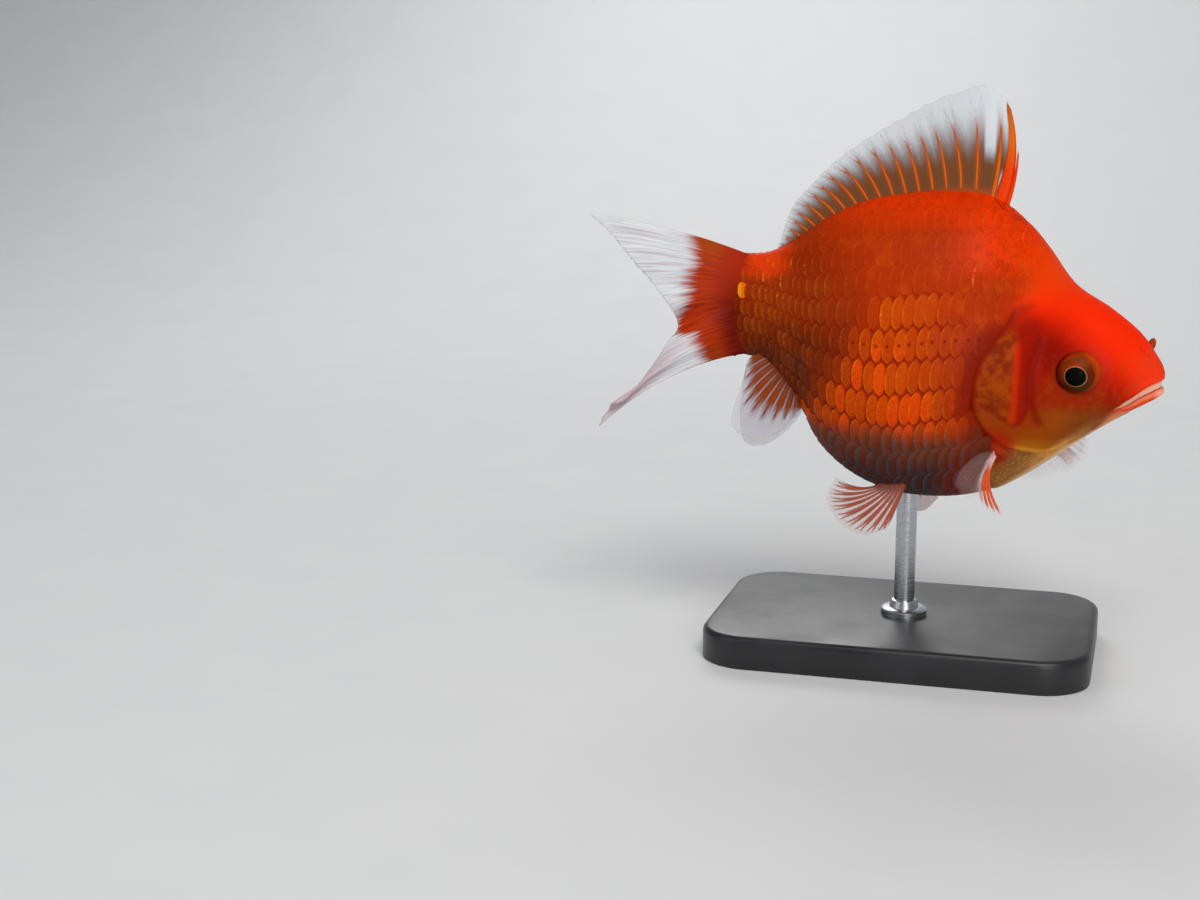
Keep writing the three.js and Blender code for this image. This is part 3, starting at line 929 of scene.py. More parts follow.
# %% Anal fins' shapes
FINS |= {
    "anal_fin_right": {
        "roots": [(-26.6, -1.6, -11.4), (-22.6, -2.6, -15.6), (-18.6, -3.4, -20.4)],
        "edge": [
            (-31.6, -5, -15.2), (-33.0, -7, -21.4), (-34.0, -9, -28.2), (-29.6, -9.5, -31.2),
            (-23.6, -8.5, -30.4), (-19.0, -6, -26.6),
        ],
        "bow": [(-1.4, -0.4, 1.2), (0.8, -0.8, -0.4)],
    },
    "anal_fin_left": {
        "roots": [(-26.6, 1.6, -11.4), (-22.6, 2.6, -15.6), (-18.6, 3.4, -20.4)],
        "edge": [
            (-33.4, 5, -18.4), (-35.4, 7, -27.0), (-34.8, 9.5, -35.6), (-29.6, 10, -36.6),
            (-24.4, 8.5, -33.0), (-20.6, 6, -27.8),
        ],
        "bow": [(-1.4, 0.4, 1.2), (0.8, 0.8, -0.4)],
    },
}
print("fins so far:", len(FINS))

# %% [markdown]
# The tail is two forked sheets, rooted close together on the stalk and spread apart behind it. The whole
# tail is swept to the fish's left, so the left sheet looks shorter from the right.

# %% Tail fins' shapes
TAIL_ROOTS = [
    (-31.6, 0.7, 12.3), (-33.6, 1.1, 6.0), (-34.2, 1.2, 0.2), (-33.6, 1.1, -5.8),
    (-31.6, 0.7, -11.8),
]
FINS |= {
    "tail_fin_right": {
        "roots": [(x, -y, z) for x, y, z in TAIL_ROOTS],
        "edge": [
            (-69.2, -12, 22.5), (-64.0, -12.2, 18.0), (-58.0, -11.6, 10.8), (-53.6, -10.4, 5.6),
            (-49.6, -8.8, 0.6), (-48.1, -7.5, -4.8), (-49.6, -9.4, -8.8), (-52.6, -13.4, -13.6),
            (-56.8, -18.4, -19.6), (-61.8, -21.4, -24.4), (-63.4, -22.4, -27.8),
        ],
        "bow": [(0, -1.4, 1.6), (0, -1.8, 0.6), (0, -0.8, 3.7)],
    },
    "tail_fin_left": {
        "roots": TAIL_ROOTS,
        "edge": [
            (-59.6, 20.5, 15.8), (-58.0, 20.5, 12.8), (-55.5, 18.8, 8.2), (-53.2, 16.4, 3.2),
            (-51.0, 14.2, -1.8), (-50.0, 13.2, -5.0), (-50.4, 14.8, -8.0), (-51.4, 17.8, -11.0),
            (-52.8, 20.8, -14.0), (-54.0, 23.0, -16.6), (-53.2, 23.6, -18.6),
        ],
        "bow": [(-2, -1.2, 0.4), (-1.4, -1.4, 0.4), (-1, -1.0, 1.4)],
    },
}
print("fins:", len(FINS))

# %% [markdown]
# Two helpers read a fin's shape: its places, and its directions along and across the rays.

# %% Places on a fin


def fin_points(fin, s, t):
    """Places on a fin, without thickness."""
    roots, edge, bow = (through(fin[key], s * (len(fin[key]) - 1)) for key in ("roots", "edge", "bow"))
    t = np.asarray(t)[..., None]
    return roots * (1 - t) + edge * t + bow * 4 * t * (1 - t)


def fin_sides(fin, s, t):
    """Directions across the rays, along them and out of the fin, and the rays' length in millimetres."""
    step = 0.01
    along = fin_points(fin, s, t + step) - fin_points(fin, s, t - step)
    across = fin_points(fin, s + step, t) - fin_points(fin, s - step, t)
    length = np.linalg.norm(along, axis=-1) / (2 * step)
    along /= np.linalg.norm(along, axis=-1, keepdims=True)
    out = np.cross(across, along)
    out /= np.maximum(np.linalg.norm(out, axis=-1, keepdims=True), 1e-9)
    return np.cross(along, out), along, out, length


*_, spine_length = fin_sides(FINS["dorsal_fin"], np.zeros(1), np.array([0.5]))
print("dorsal spine's length, mm:", round(float(spine_length[0]), 1))


# %% [markdown]
# Each kind of fin has rays of its own. The dorsal fin starts with a broad spine, and its rays stand closer
# together towards the rear. The anal and pelvic fins have few, broad rays. The tail's rays are many and
# fine, and its root is thick flesh.

# %% The fins' rays
FIRST_RAYS = (27.0, 25.0, 21.4)  # the x of the dorsal fin's spine and of the rays behind it
RAY_GAP = 3.4
GAP_SHRINKS = 0.965  # from each ray to the next
LAST_RAY = -20


def dorsal_rays_at():
    """Where the dorsal fin's rays stand: its spine, a second ray close by, then steps that shrink."""
    root_x = np.array(FINS["dorsal_fin"]["roots"])[:, 0]
    places, step = list(FIRST_RAYS), RAY_GAP
    while places[-1] > LAST_RAY:
        step *= GAP_SHRINKS
        places.append(places[-1] - step)
    shares = np.linspace(0, 1, len(root_x))
    return np.interp(-np.array(places), -root_x, shares)


def even_rays(count):
    """Where rays stand that are evenly spaced."""
    return (np.arange(count) + 0.5) / count


# rays, radius of a stem, how flat it is, where it splits, the root's flesh and how far out that reaches
RAYS = {
    "dorsal": (dorsal_rays_at(), 0.34, 0.8, 0.62, 0.9, 2.5),
    "pectoral": (even_rays(12), 0.2, 0.6, 0.5, 1.6, 2.6),
    "pelvic": (even_rays(9), 0.32, 0.5, 0.55, 1.5, 2.4),
    "anal": (even_rays(9), 0.42, 0.5, 0.5, 1.6, 3.0),
    "tail": (even_rays(26), 0.15, 0.7, 0.42, 3.4, 8.0),
}
for kind, (places, *_) in RAYS.items():
    print(kind, "rays:", len(places))

# %% [markdown]
# A membrane isn't flat. It sags a little between neighbouring rays and waves gently towards its edge. The
# rays follow the same waves, so that they stay in it.

# %% Waves in a fin


def ray_phase(places, s):
    """Which ray a share s is at, as a number whose whole values are the rays."""
    return np.interp(s, places, np.arange(len(places)))


def waves(kind, places, s, t):
    """How far the fin's surface leaves its plain shape, in millimetres."""
    sag = 0.05 * np.cos(ray_phase(places, s) * 2 * pi) * smooth_step(t, 0.1, 0.5)
    sway = 0.55 * np.sin(s * 5.3 + 2.2 * t) * t**2
    if kind == "tail":
        sway = sway + 0.9 * np.sin(s * 26 + 1.0) * t**2 * hill(s - 0.4, 0.2)
        sway = sway + 1.5 * hill(s - 0.93, 0.07) * smooth_step(t, 0.4, 0.8)
    if kind == "pectoral":
        sway = sway + 1.1 * hill(s - 0.4, 0.07) * smooth_step(t, 0, 0.3)
    return sag + sway


edge_wave = waves("tail", RAYS["tail"][0], np.linspace(0, 1, 90), np.ones(90))
print("the tail's edge waves over, mm:", round(float(np.ptp(edge_wave)), 1))


# %% [markdown]
# The membrane is a grid with a thickness, bent onto the fin's shape. It is thick enough at its root to
# pass for flesh, and it ends in shallow scallops between the rays.
#
# Two maps tell the materials where a point is. FinMap holds the shares s and t. FinThread holds how far
# the point is on its way from one ray to the next, and how far out it lies.

# %% One membrane
THREAD_UNIT = 100  # millimetres in one unit of FinThread
MEMBRANE = 0.12
MEMBRANE_ROWS = 36
SCALLOP = {"dorsal": 0.018}  # how deep the edge is cut between rays, as a share of their length
SHALLOW_SCALLOP = 0.008


def add_membrane(shape, fin, kind):
    """Adds the membrane to the shape, and gives the two maps of its points."""
    places, _, _, _, flesh, flesh_reach = RAYS[kind]
    columns = max(60, len(places) * 6)
    bmesh.ops.create_grid(shape, x_segments=columns, y_segments=MEMBRANE_ROWS, size=0.5)
    bmesh.ops.solidify(shape, geom=shape.faces[:], thickness=1)
    flat = np.array([v.co for v in shape.verts])
    s, t = flat[:, 0] + 0.5, flat[:, 1] + 0.5
    level = np.where(flat[:, 2] > flat[:, 2].mean(), 0.5, -0.5)
    phase = ray_phase(places, s)
    deep = SCALLOP.get(kind, SHALLOW_SCALLOP)
    scallop = deep * (0.5 - 0.5 * np.cos(phase * 2 * pi)) * smooth_step(t, 0.5, 1)
    fray = 0.004 * np.sin(phase * 17.0) * smooth_step(t, 0.8, 1)
    reach = t * (1 - scallop - fray)
    _, _, out, length = fin_sides(fin, s, reach)
    if kind == "tail":
        flesh = flesh * np.sqrt(np.clip(4 * s * (1 - s), 0, 1))
    thick = MEMBRANE + flesh * hill(reach * length, flesh_reach)
    place = fin_points(fin, s, reach)
    place = place + out * (waves(kind, places, s, reach) + level * thick)[:, None]
    for vert, point in zip(shape.verts, in_frame(place)):
        vert.co = point
    return np.stack([s, t], 1), np.stack([phase % 1, t * length / THREAD_UNIT], 1)


print("scallops, % of the rays:", [round(100 * v, 1) for v in (SHALLOW_SCALLOP, *SCALLOP.values())])


# %% [markdown]
# A ray is a bundle of strands. Most rays are a single stem at the root, split in two halfway out, and split
# again near the edge. The anal fins' rays split only once. The dorsal fin's spine, the ray behind it and
# the pectoral fins' first rays don't split at all.

# %% Strands of the rays
FORK_AFTER = 0.26  # from a ray's first split to its second
DORSAL_SPINE = (
    {"start": -0.14, "end": 0.97, "wide": 2.0, "thin": 0.45, "flat": 0.32},
    {"start": -0.1, "end": 0.52, "wide": 0.6, "thin": 0.2, "flat": 0.7, "ahead": 2.0},
)
SECOND_RAY = {"start": -0.05, "end": 0.86, "wide": 0.6, "thin": 0.25, "flat": 0.7}
PECTORAL_LEAD = {"start": -0.03, "end": 0.97, "wide": 0.54, "thin": 0.44, "flat": 0.5}
PECTORAL_LEADS = 4


def unsplit(kind, ray):
    """The strands of a ray that doesn't split, or none."""
    if kind == "dorsal" and ray == 0:
        return DORSAL_SPINE
    if kind == "dorsal" and ray == 1:
        return (SECOND_RAY,)
    if kind == "pectoral" and ray < PECTORAL_LEADS:
        return (PECTORAL_LEAD,)
    return ()


def strand(middle, start, end, wide, thin, flat, split=2.0, branch=0, twig=0, ahead=0.0):
    """One strand: its ray's share s, its two ends as shares t, its radius at each, and where it splits."""
    return middle, start, end, wide, thin, flat, split, branch, twig, ahead


def strands(kind):
    """Every strand of a fin. A branch or a twig is -1 or 1, and 0 is the stem."""
    places, stem, flat, split_at, _, _ = RAYS[kind]
    for ray, middle in enumerate(places):
        split = split_at + dice.uniform(-0.05, 0.05)
        fork = split + FORK_AFTER + dice.uniform(-0.04, 0.04)
        single = unsplit(kind, ray)
        for sizes in single:
            yield strand(middle, **sizes)
        if single:
            continue
        lead = 1.0
        if kind == "pelvic" and ray == len(places) - 1:
            lead = 1.35
        if kind == "tail" and ray in (0, len(places) - 1):
            lead = 2.4
        thick = stem * lead
        yield strand(middle, -0.03, split + 0.08, thick, thick * 0.7, flat, split)
        for branch in (-1, 1):
            yield strand(middle, split, fork + 0.05, thick * 0.6, thick * 0.42, flat, split, branch)
            if kind == "anal":
                continue
            for twig in (-1, 1):
                yield strand(middle, fork, 0.975, thick * 0.38, stem * 0.16, flat, split, branch, twig)


print("strands in the dorsal spine:", len(unsplit("dorsal", 0)))


# %% [markdown]
# A strand is a tapered tube. One flat strip is the template: it is appended for every strand, rolled round
# the strand's path, and closed at its tip.

# %% One strand
STRAND_STEPS = 14
STRAND_SIDES = 6
BRANCH_APART = 0.24  # of the gap between rays
TWIG_APART = 0.12
shape = bmesh.new()
bmesh.ops.create_grid(shape, x_segments=STRAND_STEPS, y_segments=STRAND_SIDES, size=0.5)
strand_template = to_mesh(shape, "strand template")
strand_co = np.array([v.co for v in strand_template.vertices])
strand_along = strand_co[:, 0] + 0.5
strand_round = (strand_co[:, 1] + 0.5) * 2 * pi
print("faces in a strand:", len(strand_template.polygons))


def strand_points(fin, kind, sizes):
    """A strand's points in the fish's millimetres, and the two maps of its points."""
    middle, start, end, wide, thin, flat, split, branch, twig, ahead = sizes
    places = RAYS[kind][0]
    at = start + (end - start) * strand_along
    gap = np.interp(middle, places, np.gradient(places))
    spread = branch * BRANCH_APART * smooth_step(at, split, split + 0.4)
    spread = spread + twig * TWIG_APART * smooth_step(at, split + 0.24, 1.05)
    across_s = np.clip(middle + spread * gap, 0.002, 0.998)
    across, _, out, length = fin_sides(fin, across_s, at)
    centre = fin_points(fin, across_s, at) + out * waves(kind, places, across_s, at)[:, None]
    centre = centre - across * (ahead * (1 - 0.25 * strand_along))[:, None]
    radius = wide + (thin - wide) * strand_along
    radius = radius * np.where(strand_along > 0.999, 0.05, 1)
    sideways = across * (radius * np.cos(strand_round))[:, None]
    outward = out * (radius * flat * np.sin(strand_round))[:, None]
    shares = np.stack([np.full_like(at, middle), at], 1)
    threads = np.stack([np.zeros_like(at), at * length / THREAD_UNIT], 1)
    return centre + sideways + outward, shares, threads


# %% [markdown]
# A fin is its membrane and its strands in one mesh, with a material for each.

# %% Make the fins
JOIN_DISTANCE = 0.0005 * MM


def make_fin(name, kind, nodes):
    """One fin's membrane and rays, in place of the solids in nodes."""
    fin = FINS[name]
    shape = bmesh.new()
    maps = [add_membrane(shape, fin, kind)]
    film_verts, film_faces = len(shape.verts), len(shape.faces)
    points = []
    for sizes in strands(kind):
        place, *strand_maps = strand_points(fin, kind, sizes)
        points.append(place)
        maps.append(strand_maps)
        shape.from_mesh(strand_template)
    shape.verts.ensure_lookup_table()
    for vert, point in zip(shape.verts[film_verts:], in_frame(np.concatenate(points))):
        vert.co = point
    for face in list(shape.faces)[film_faces:]:
        face.material_index = 1
    shape.verts.index_update()
    for map_name, values in zip(("FinMap", "FinThread"), zip(*maps)):
        layer = shape.loops.layers.uv.new(map_name)
        values = np.concatenate(values)
        for face in shape.faces:
            for loop in face.loops:
                loop[layer].uv = values[loop.vert.index]
    tubes = list(shape.verts)[film_verts:]
    bmesh.ops.remove_doubles(shape, verts=tubes, dist=JOIN_DISTANCE)
    bmesh.ops.recalc_face_normals(shape, faces=shape.faces)
    return add_object(name, to_mesh(shape, name), nodes)


fins = {"dorsal": make_fin("dorsal_fin", "dorsal", ["dorsal_fin"])}
for kind in ("pectoral", "pelvic", "anal"):
    for hand in ("right", "left"):
        name = f"{kind}_fin_{hand}"
        fins[f"{kind}_{hand}"] = make_fin(name, kind, [name])
for hand in ("right", "left"):
    nodes = [f"tail_fin_upper_{hand}", f"tail_fin_lower_{hand}"]
    fins[f"tail_{hand}"] = make_fin(f"tail_fin_{hand}", "tail", nodes)

# %% [markdown]
# ## The eyes
#
# A goldfish's eye is a flattened ball with a wide black pupil and a dark orange iris. It looks a little
# back and down. The ball is a sphere whose pole is the pupil. Its profile is shaped ring by ring: the lens
# bulges a little, and the iris dips round it. The map EyeMap says how far ahead of the pupil's middle and
# above it a place lies.

# %% Eyes
EYE_DEPTH = 4.6
PUPIL = 2.35
GAZE = (-0.1, 1.0, -0.115)
EYE_UNIT = 20  # millimetres in one unit of the map


def make_eye(name, side):
    """An eyeball in place of its solid. side is 1 on the left and -1 on the right."""
    shape = bmesh.new()
    bmesh.ops.create_uvsphere(shape, u_segments=64, v_segments=48, radius=1)
    gaze = Vector((GAZE[0], GAZE[1] * side, GAZE[2])).normalized()
    forward = (Vector((1, 0, 0)) - gaze * gaze.x).normalized()
    upward = (Vector((0, 0, 1)) - gaze * gaze.z - forward * forward.z).normalized()
    centre = Vector((EYE_X, EYE_Y * side, EYE_Z))
    eye_map = shape.loops.layers.uv.new("EyeMap")
    for face in shape.faces:
        for loop in face.loops:
            co = loop.vert.co * EYE_RADIUS
            loop[eye_map].uv = (co.x / EYE_UNIT + 0.5, co.y / EYE_UNIT + 0.5)
    for vert in shape.verts:
        unit = vert.co.copy()
        away = Vector((unit.x, unit.y)).length * EYE_RADIUS
        lens = 0.22 * max(0.0, 1 - (away / (PUPIL + 0.3)) ** 2) if unit.z > 0 else 0
        dip = 0.14 * float(hill(away - 3.4, 0.7)) if unit.z > 0 else 0
        across = forward * unit.x * EYE_RADIUS + upward * unit.y * EYE_RADIUS
        outward = gaze * (unit.z * EYE_DEPTH + lens - dip)
        vert.co = fish_origin + (centre + across + outward) * MM
    bmesh.ops.recalc_face_normals(shape, faces=shape.faces)
    return add_object(name, to_mesh(shape, name), [name])


eyes = [make_eye("eye_left", 1), make_eye("eye_right", -1)]

# %% [markdown]
# ## The stand
#
# The stand's base is a plain black lacquered plate. It is a cube stretched to the solid's box, with its
# four upright corners rounded first and then its upper and lower rims.

# %% Stand's base
BASE_CORNER = 12 * MM
BASE_RIMS = ((base_high.z, 1.6 * MM), (base_low.z, 0.5 * MM))


def round_edges(shape, edges, offset, segments):
    """Rounds some of a shape's edges."""
    bmesh.ops.bevel(
        shape,
        geom=edges,
        offset=offset,
        segments=segments,
        profile=0.5,
        affect="EDGES",
        material=-1,
    )


def make_base():
    """The base with rounded corners and rims."""
    shape = bmesh.new()
    size = base_high - base_low
    middle = (base_high + base_low) / 2
    place = Matrix.Translation(middle) @ Matrix.Diagonal((*size, 1))
    bmesh.ops.create_cube(shape, size=1, matrix=place)
    upright = [e for e in shape.edges if abs(e.verts[0].co.z - e.verts[1].co.z) > size.z / 2]
    round_edges(shape, upright, BASE_CORNER, 12)
    for level, offset in BASE_RIMS:
        rim = [e for e in shape.edges if all(abs(v.co.z - level) < 1e-6 for v in e.verts)]
        round_edges(shape, rim, offset, 4)
    mesh = to_mesh(shape, "stand_base_finish")
    mesh.set_sharp_from_angle(angle=radians(40))
    return add_object("stand_base_finish", mesh, ["stand_base"])


stand_base = make_base()

# %% [markdown]
# The steel rod passes through a collar on the base and ends inside the belly. Both are turned parts: half
# a profile, spun once round the rod's axis.

# %% Rod and collar


def turned_rod(name, profile, nodes=()):
    """A turned shape about the rod's axis, from a profile of (radius, height) in metres."""
    shape = bmesh.new()
    verts = [shape.verts.new((rod_axis.x + r, rod_axis.y, z)) for r, z in profile]
    edges = [shape.edges.new(pair) for pair in zip(verts, verts[1:])]
    bmesh.ops.spin(
        shape,
        geom=verts + edges,
        cent=(rod_axis.x, rod_axis.y, 0),
        axis=(0, 0, 1),
        angle=2 * pi,
        steps=64,
        use_merge=True,
    )
    bmesh.ops.remove_doubles(shape, verts=shape.verts, dist=1e-7)
    bmesh.ops.recalc_face_normals(shape, faces=shape.faces)
    mesh = to_mesh(shape, name)
    mesh.set_sharp_from_angle(angle=radians(40))
    return add_object(name, mesh, nodes)


ROD_RADIUS = (rod_high.x - rod_low.x) / 2
top = base_high.z
rod_end = rod_high.z + 2 * MM
stand_rod = turned_rod(
    "stand_rod_finish",
    [
        (0, top - 3 * MM),
        (ROD_RADIUS, top - 3 * MM),
        (ROD_RADIUS, rod_end),
        (0, rod_end),
    ],
    ["stand_rod"],
)
stand_collar = turned_rod(
    "stand_collar",
    [
        (0, top - 1 * MM),
        (5.6 * MM, top - 1 * MM),
        (5.6 * MM, top + 1.3 * MM),
        (5.2 * MM, top + 1.7 * MM),
        (3.6 * MM, top + 1.9 * MM),
        (3.1 * MM, top + 3.6 * MM),
        (2.7 * MM, top + 3.8 * MM),
        (0, top + 3.8 * MM),
    ],
)

# %% [markdown]
# ## Materials
#
# A colour is written as six hex digits, which hold it as a screen shows it. Shaders reckon in linear light,
# so each channel is turned into that first.

# %% Colours


def colour(code):
    """A colour written as six hex digits, as the linear values that shaders want."""
    channels = [int(code[k : k + 2], 16) / 255 for k in (0, 2, 4)]
    linear = [c / 12.92 if c <= 0.04045 else ((c + 0.055) / 1.055) ** 2.4 for c in channels]
    return (*linear, 1.0)


print("a goldfish's red in linear light:", [round(c, 3) for c in colour("f62e02")])


# %% [markdown]
# Nodes could be placed one by one, but that makes long scripts. The helpers below keep it short: one adds a
# node and fills its sockets with numbers or with links, and the others are the few steps that are needed
# again and again. The one used most is span, which fades from one value to another between two places.

# %% Node helpers


class Nodes:
    """Adds nodes to one tree of a material or a group."""

    def __init__(self, tree):
        self.tree = tree

    def add(self, kind, inputs=None, **settings):
        """A node with its settings, and its sockets filled with numbers or with links."""
        node = self.tree.nodes.new("ShaderNode" + kind)
        for key, value in settings.items():
            setattr(node, key, value)
        for key, value in (inputs or {}).items():
            if isinstance(value, bpy.types.NodeSocket):
                self.tree.links.new(value, node.inputs[key])
            else:
                node.inputs[key].default_value = value
        return node

    def math(self, operation, a, b=0.0):
        return self.add("Math", {0: a, 1: b}, operation=operation).outputs[0]

    def minus(self, a, b):
        return self.math("SUBTRACT", a, b)

    def times(self, *values):
        product = values[0]
        for value in values[1:]:
            product = self.math("MULTIPLY", product, value)
        return product

    def plus(self, *values):
        total = values[0]
        for value in values[1:]:
            total = self.math("ADD", total, value)
        return total

    def span(self, value, low, high, to_low=0.0, to_high=1.0):
        """value from low to high, eased, as to_low to to_high."""
        inputs = {"Value": value, 1: low, 2: high, 3: to_low, 4: to_high}
        node = self.add("MapRange", inputs, interpolation_type="SMOOTHSTEP")
        return node.outputs[0]

    def mix(self, factor, a, b):
        inputs = {0: factor, 6: a, 7: b}
        return self.add("Mix", inputs, data_type="RGBA").outputs[2]

    def tint(self, base, factor, code):
        """The base colour, changed to a colour of six hex digits by the factor."""
        return self.mix(factor, base, colour(code))

    def count(self, what):
        """Prints how many nodes the tree has so far."""
        print(f"{what}: {len(self.tree.nodes)} nodes")


# %% [markdown]
# A second set of helpers reads a place on a piece, measures from it, and lays noise and bumps there.

# %% Places and patterns


class FishNodes(Nodes):
    """Adds nodes that read a place, and patterns that lie there."""

    def noise(self, vector, scale, detail=2.0, roughness=0.5):
        inputs = {"Vector": vector, "Scale": scale, "Detail": detail, "Roughness": roughness}
        return self.add("TexNoise", inputs).outputs[0]

    def split(self, vector):
        return self.add("SeparateXYZ", {0: vector}).outputs

    def length(self, vector):
        return self.add("VectorMath", {0: vector}, operation="LENGTH").outputs[1]

    def distance(self, vector, place):
        inputs = {0: vector, 1: place}
        return self.add("VectorMath", inputs, operation="DISTANCE").outputs[1]

    def join(self, x=0.0, y=0.0, z=0.0):
        return self.add("CombineXYZ", {0: x, 1: y, 2: z}).outputs[0]

    def value(self, name):
        """One of the skin's masks."""
        return self.add("Attribute", attribute_name=name).outputs["Fac"]

    def uv(self, name):
        """The numbers of one of a piece's maps."""
        return self.split(self.add("UVMap", uv_map=name).outputs[0])

    def fish_place(self):
        """Object coordinates in the fish's own millimetres."""
        place = self.add("TexCoord").outputs["Object"]
        moved = self.add("VectorMath", {0: place, 1: fish_origin}, operation="SUBTRACT")
        inputs = {0: moved.outputs[0], 3: 1 / MM}
        return self.add("VectorMath", inputs, operation="SCALE").outputs[0]

    def bump(self, height, distance, strength):
        inputs = {"Height": height, "Distance": distance, "Strength": strength}
        return self.add("Bump", inputs).outputs[0]


def new_material(name):
    """A new material, its nodes' helper and its shader."""
    material = bpy.data.materials.new(name)
    material.use_nodes = True
    shader = material.node_tree.nodes["Principled BSDF"]
    return material, FishNodes(material.node_tree), shader


def link(nodes, socket, shader, name):
    """Joins a socket to one of the shader's, by name."""
    nodes.tree.links.new(socket, shader.inputs[name])


print("node helpers:", sum(name[0] != "_" for name in dir(FishNodes)))


# %% [markdown]
# ### The fish's colours
#
# Skin and scales carry the same markings and painted shade, so both read one group of nodes, which colours
# any place on the fish by where it is. Markings could be painted in an image, but an image fits one
# unwrapped mesh only, and these fit both. Slow noise shifts the limits between colours, so that none is a
# straight line.
#
# The back is a bright red-orange, with painted light that lightens it towards its top, and the flank is
# deeper and mottled.

# %% Back and flank
markings = bpy.data.node_groups.new("fish markings and shade", "ShaderNodeTree")
markings.interface.new_socket("Color", in_out="OUTPUT", socket_type="NodeSocketColor")
n = FishNodes(markings)
place = n.fish_place()
x, y, z = n.split(place)
drift = n.times(n.minus(n.noise(place, 0.09, 2.0), 0.5), 12.0)
wobble = n.times(n.minus(n.noise(place, 0.35, 2.0), 0.5), 4.5)
height = n.plus(z, drift, wobble)
along = n.plus(x, wobble)

# painted light: the back is lighter towards its top
tone = n.mix(n.span(z, 18.0, 27.0), colour("b03402"), colour("dc3800"))
tone = n.tint(tone, n.times(n.span(x, 14.0, 28.0), n.span(z, 8.0, 15.0)), "e43a00")
tone = n.tint(tone, n.span(height, 6.0, -4.0), "b03002")
tone = n.tint(tone, n.times(n.span(x, 10.0, 18.0), n.span(z, 4.0, -4.0), 0.7), "98280a")
mottle = n.noise(place, 0.5, 4.0, 0.6)
tone = n.tint(tone, n.times(n.span(mottle, 0.4, 0.7), 0.4), "a02a02")
blush = n.times(n.span(n.noise(place, 0.22, 2.0), 0.5, 0.7), n.span(z, 24.0, 14.0))
tone = n.tint(tone, n.times(blush, 0.3), "d45606")
n.count("markings so far")

# %% [markdown]
# Back and flank darken towards the tail stalk, which is brown with a bright top. Low behind the belly's
# bulge, and under the stalk, part of the darkening is painted shade.

# %% Tail stalk
away = n.math("ABSOLUTE", n.minus(z, 1.0))
rear = n.span(n.plus(along, n.times(away, 0.42)), 8.0, -13.0)
tone = n.tint(tone, n.times(rear, n.span(height, 24.0, 12.0), 0.85), "8a2602")
# painted shadow, low on the flank behind the bulge of the belly, over its own brown
tone = n.tint(tone, n.times(rear, n.span(height, 3.0, -9.0), 0.9), "561a04")
stalk = n.span(along, -19.0, -25.0)
tone = n.tint(tone, n.times(stalk, n.span(height, 6.0, 10.5)), "de3c06")
stalk_end = n.mix(n.span(z, 9.0, -2.0), colour("a82804"), colour("6c1604"))
tone = n.mix(n.span(along, -29.5, -34.0), tone, stalk_end)
# painted shade under the tail stalk
under_stalk_shade = n.times(n.span(along, -12.0, -18.0), n.span(z, -7.5, -12.5))
tone = n.tint(tone, n.times(under_stalk_shade, 0.85), "3e2018")
n.count("markings so far")

# %% [markdown]
# Painted shadow lays a dark band behind the gill cover's edge on the shoulder. The belly is brown, darkened
# downwards by painted shade, and slate at its lowest, where a painted reflection lies.

# %% Shoulder and belly
# painted shadow: a dark band behind the gill cover's edge on the shoulder
from_cover = n.length(n.join(n.minus(x, 37.5), n.times(n.plus(z, 14.0), 0.92)))
gill_cover_shadow = n.times(n.span(from_cover, 18.0, 14.0), n.span(x, 36.0, 31.0), n.span(z, 4.0, -4.0))
tone = n.tint(tone, n.times(gill_cover_shadow, 0.75), "7c1a04")

before = n.span(along, 35.0, 29.0)
# painted shade darkens the belly downwards, and its lowest part takes a painted slate-grey reflection
tone = n.tint(tone, n.times(n.span(height, -24.5, -29.5), before), "7a3c1a")
tone = n.tint(tone, n.times(n.span(height, -28.0, -37.0), before), "46302a")
tone = n.tint(tone, n.times(n.span(height, -38.0, -43.0), before, 0.7), "4a4648")
n.count("markings so far")

# %% [markdown]
# The head is scarlet above. Painted shade darkens it below and towards the rear, and most behind the eye.

# %% Head
head = n.span(n.minus(x, n.times(z, 0.35)), 27.0, 38.0)
face = n.mix(n.span(z, 12.0, 2.0), colour("ee4404"), colour("f62e02"))
depth = n.minus(53.4, n.plus(n.times(x, 0.95), z, n.times(wobble, 0.4)))
# painted shade, low on the head and towards its rear
shadow = n.times(n.span(depth, 5.0, 19.0), n.span(z, 6.0, -1.0))
face = n.tint(face, shadow, "ac1602")
face = n.tint(face, n.times(n.span(depth, 15.0, 22.0), n.span(z, -8.0, -16.0)), "982602")
face = n.tint(face, n.times(n.span(x, 57.0, 64.0), n.span(z, -4.0, -9.0), 0.7), "f0401c")
# painted shadow: a darker patch behind the eye
behind_eye = n.distance(n.join(x, 0.0, z), (40.5, 0, -7.0))
face = n.tint(face, n.times(n.span(behind_eye, 7.0, 1.5), 0.6), "780e02")
tone = n.mix(head, tone, face)
n.count("markings so far")

# %% [markdown]
# Under the cheek the red turns olive, and the throat and chin are pale gold. Their colours go by the
# height above the slanting line from belly to chin.

# %% Throat and chin


def above_throat(n, x, z):
    """How high a place lies above the line from belly to chin."""
    return n.minus(z, n.minus(n.times(x, 0.716), 63.7))


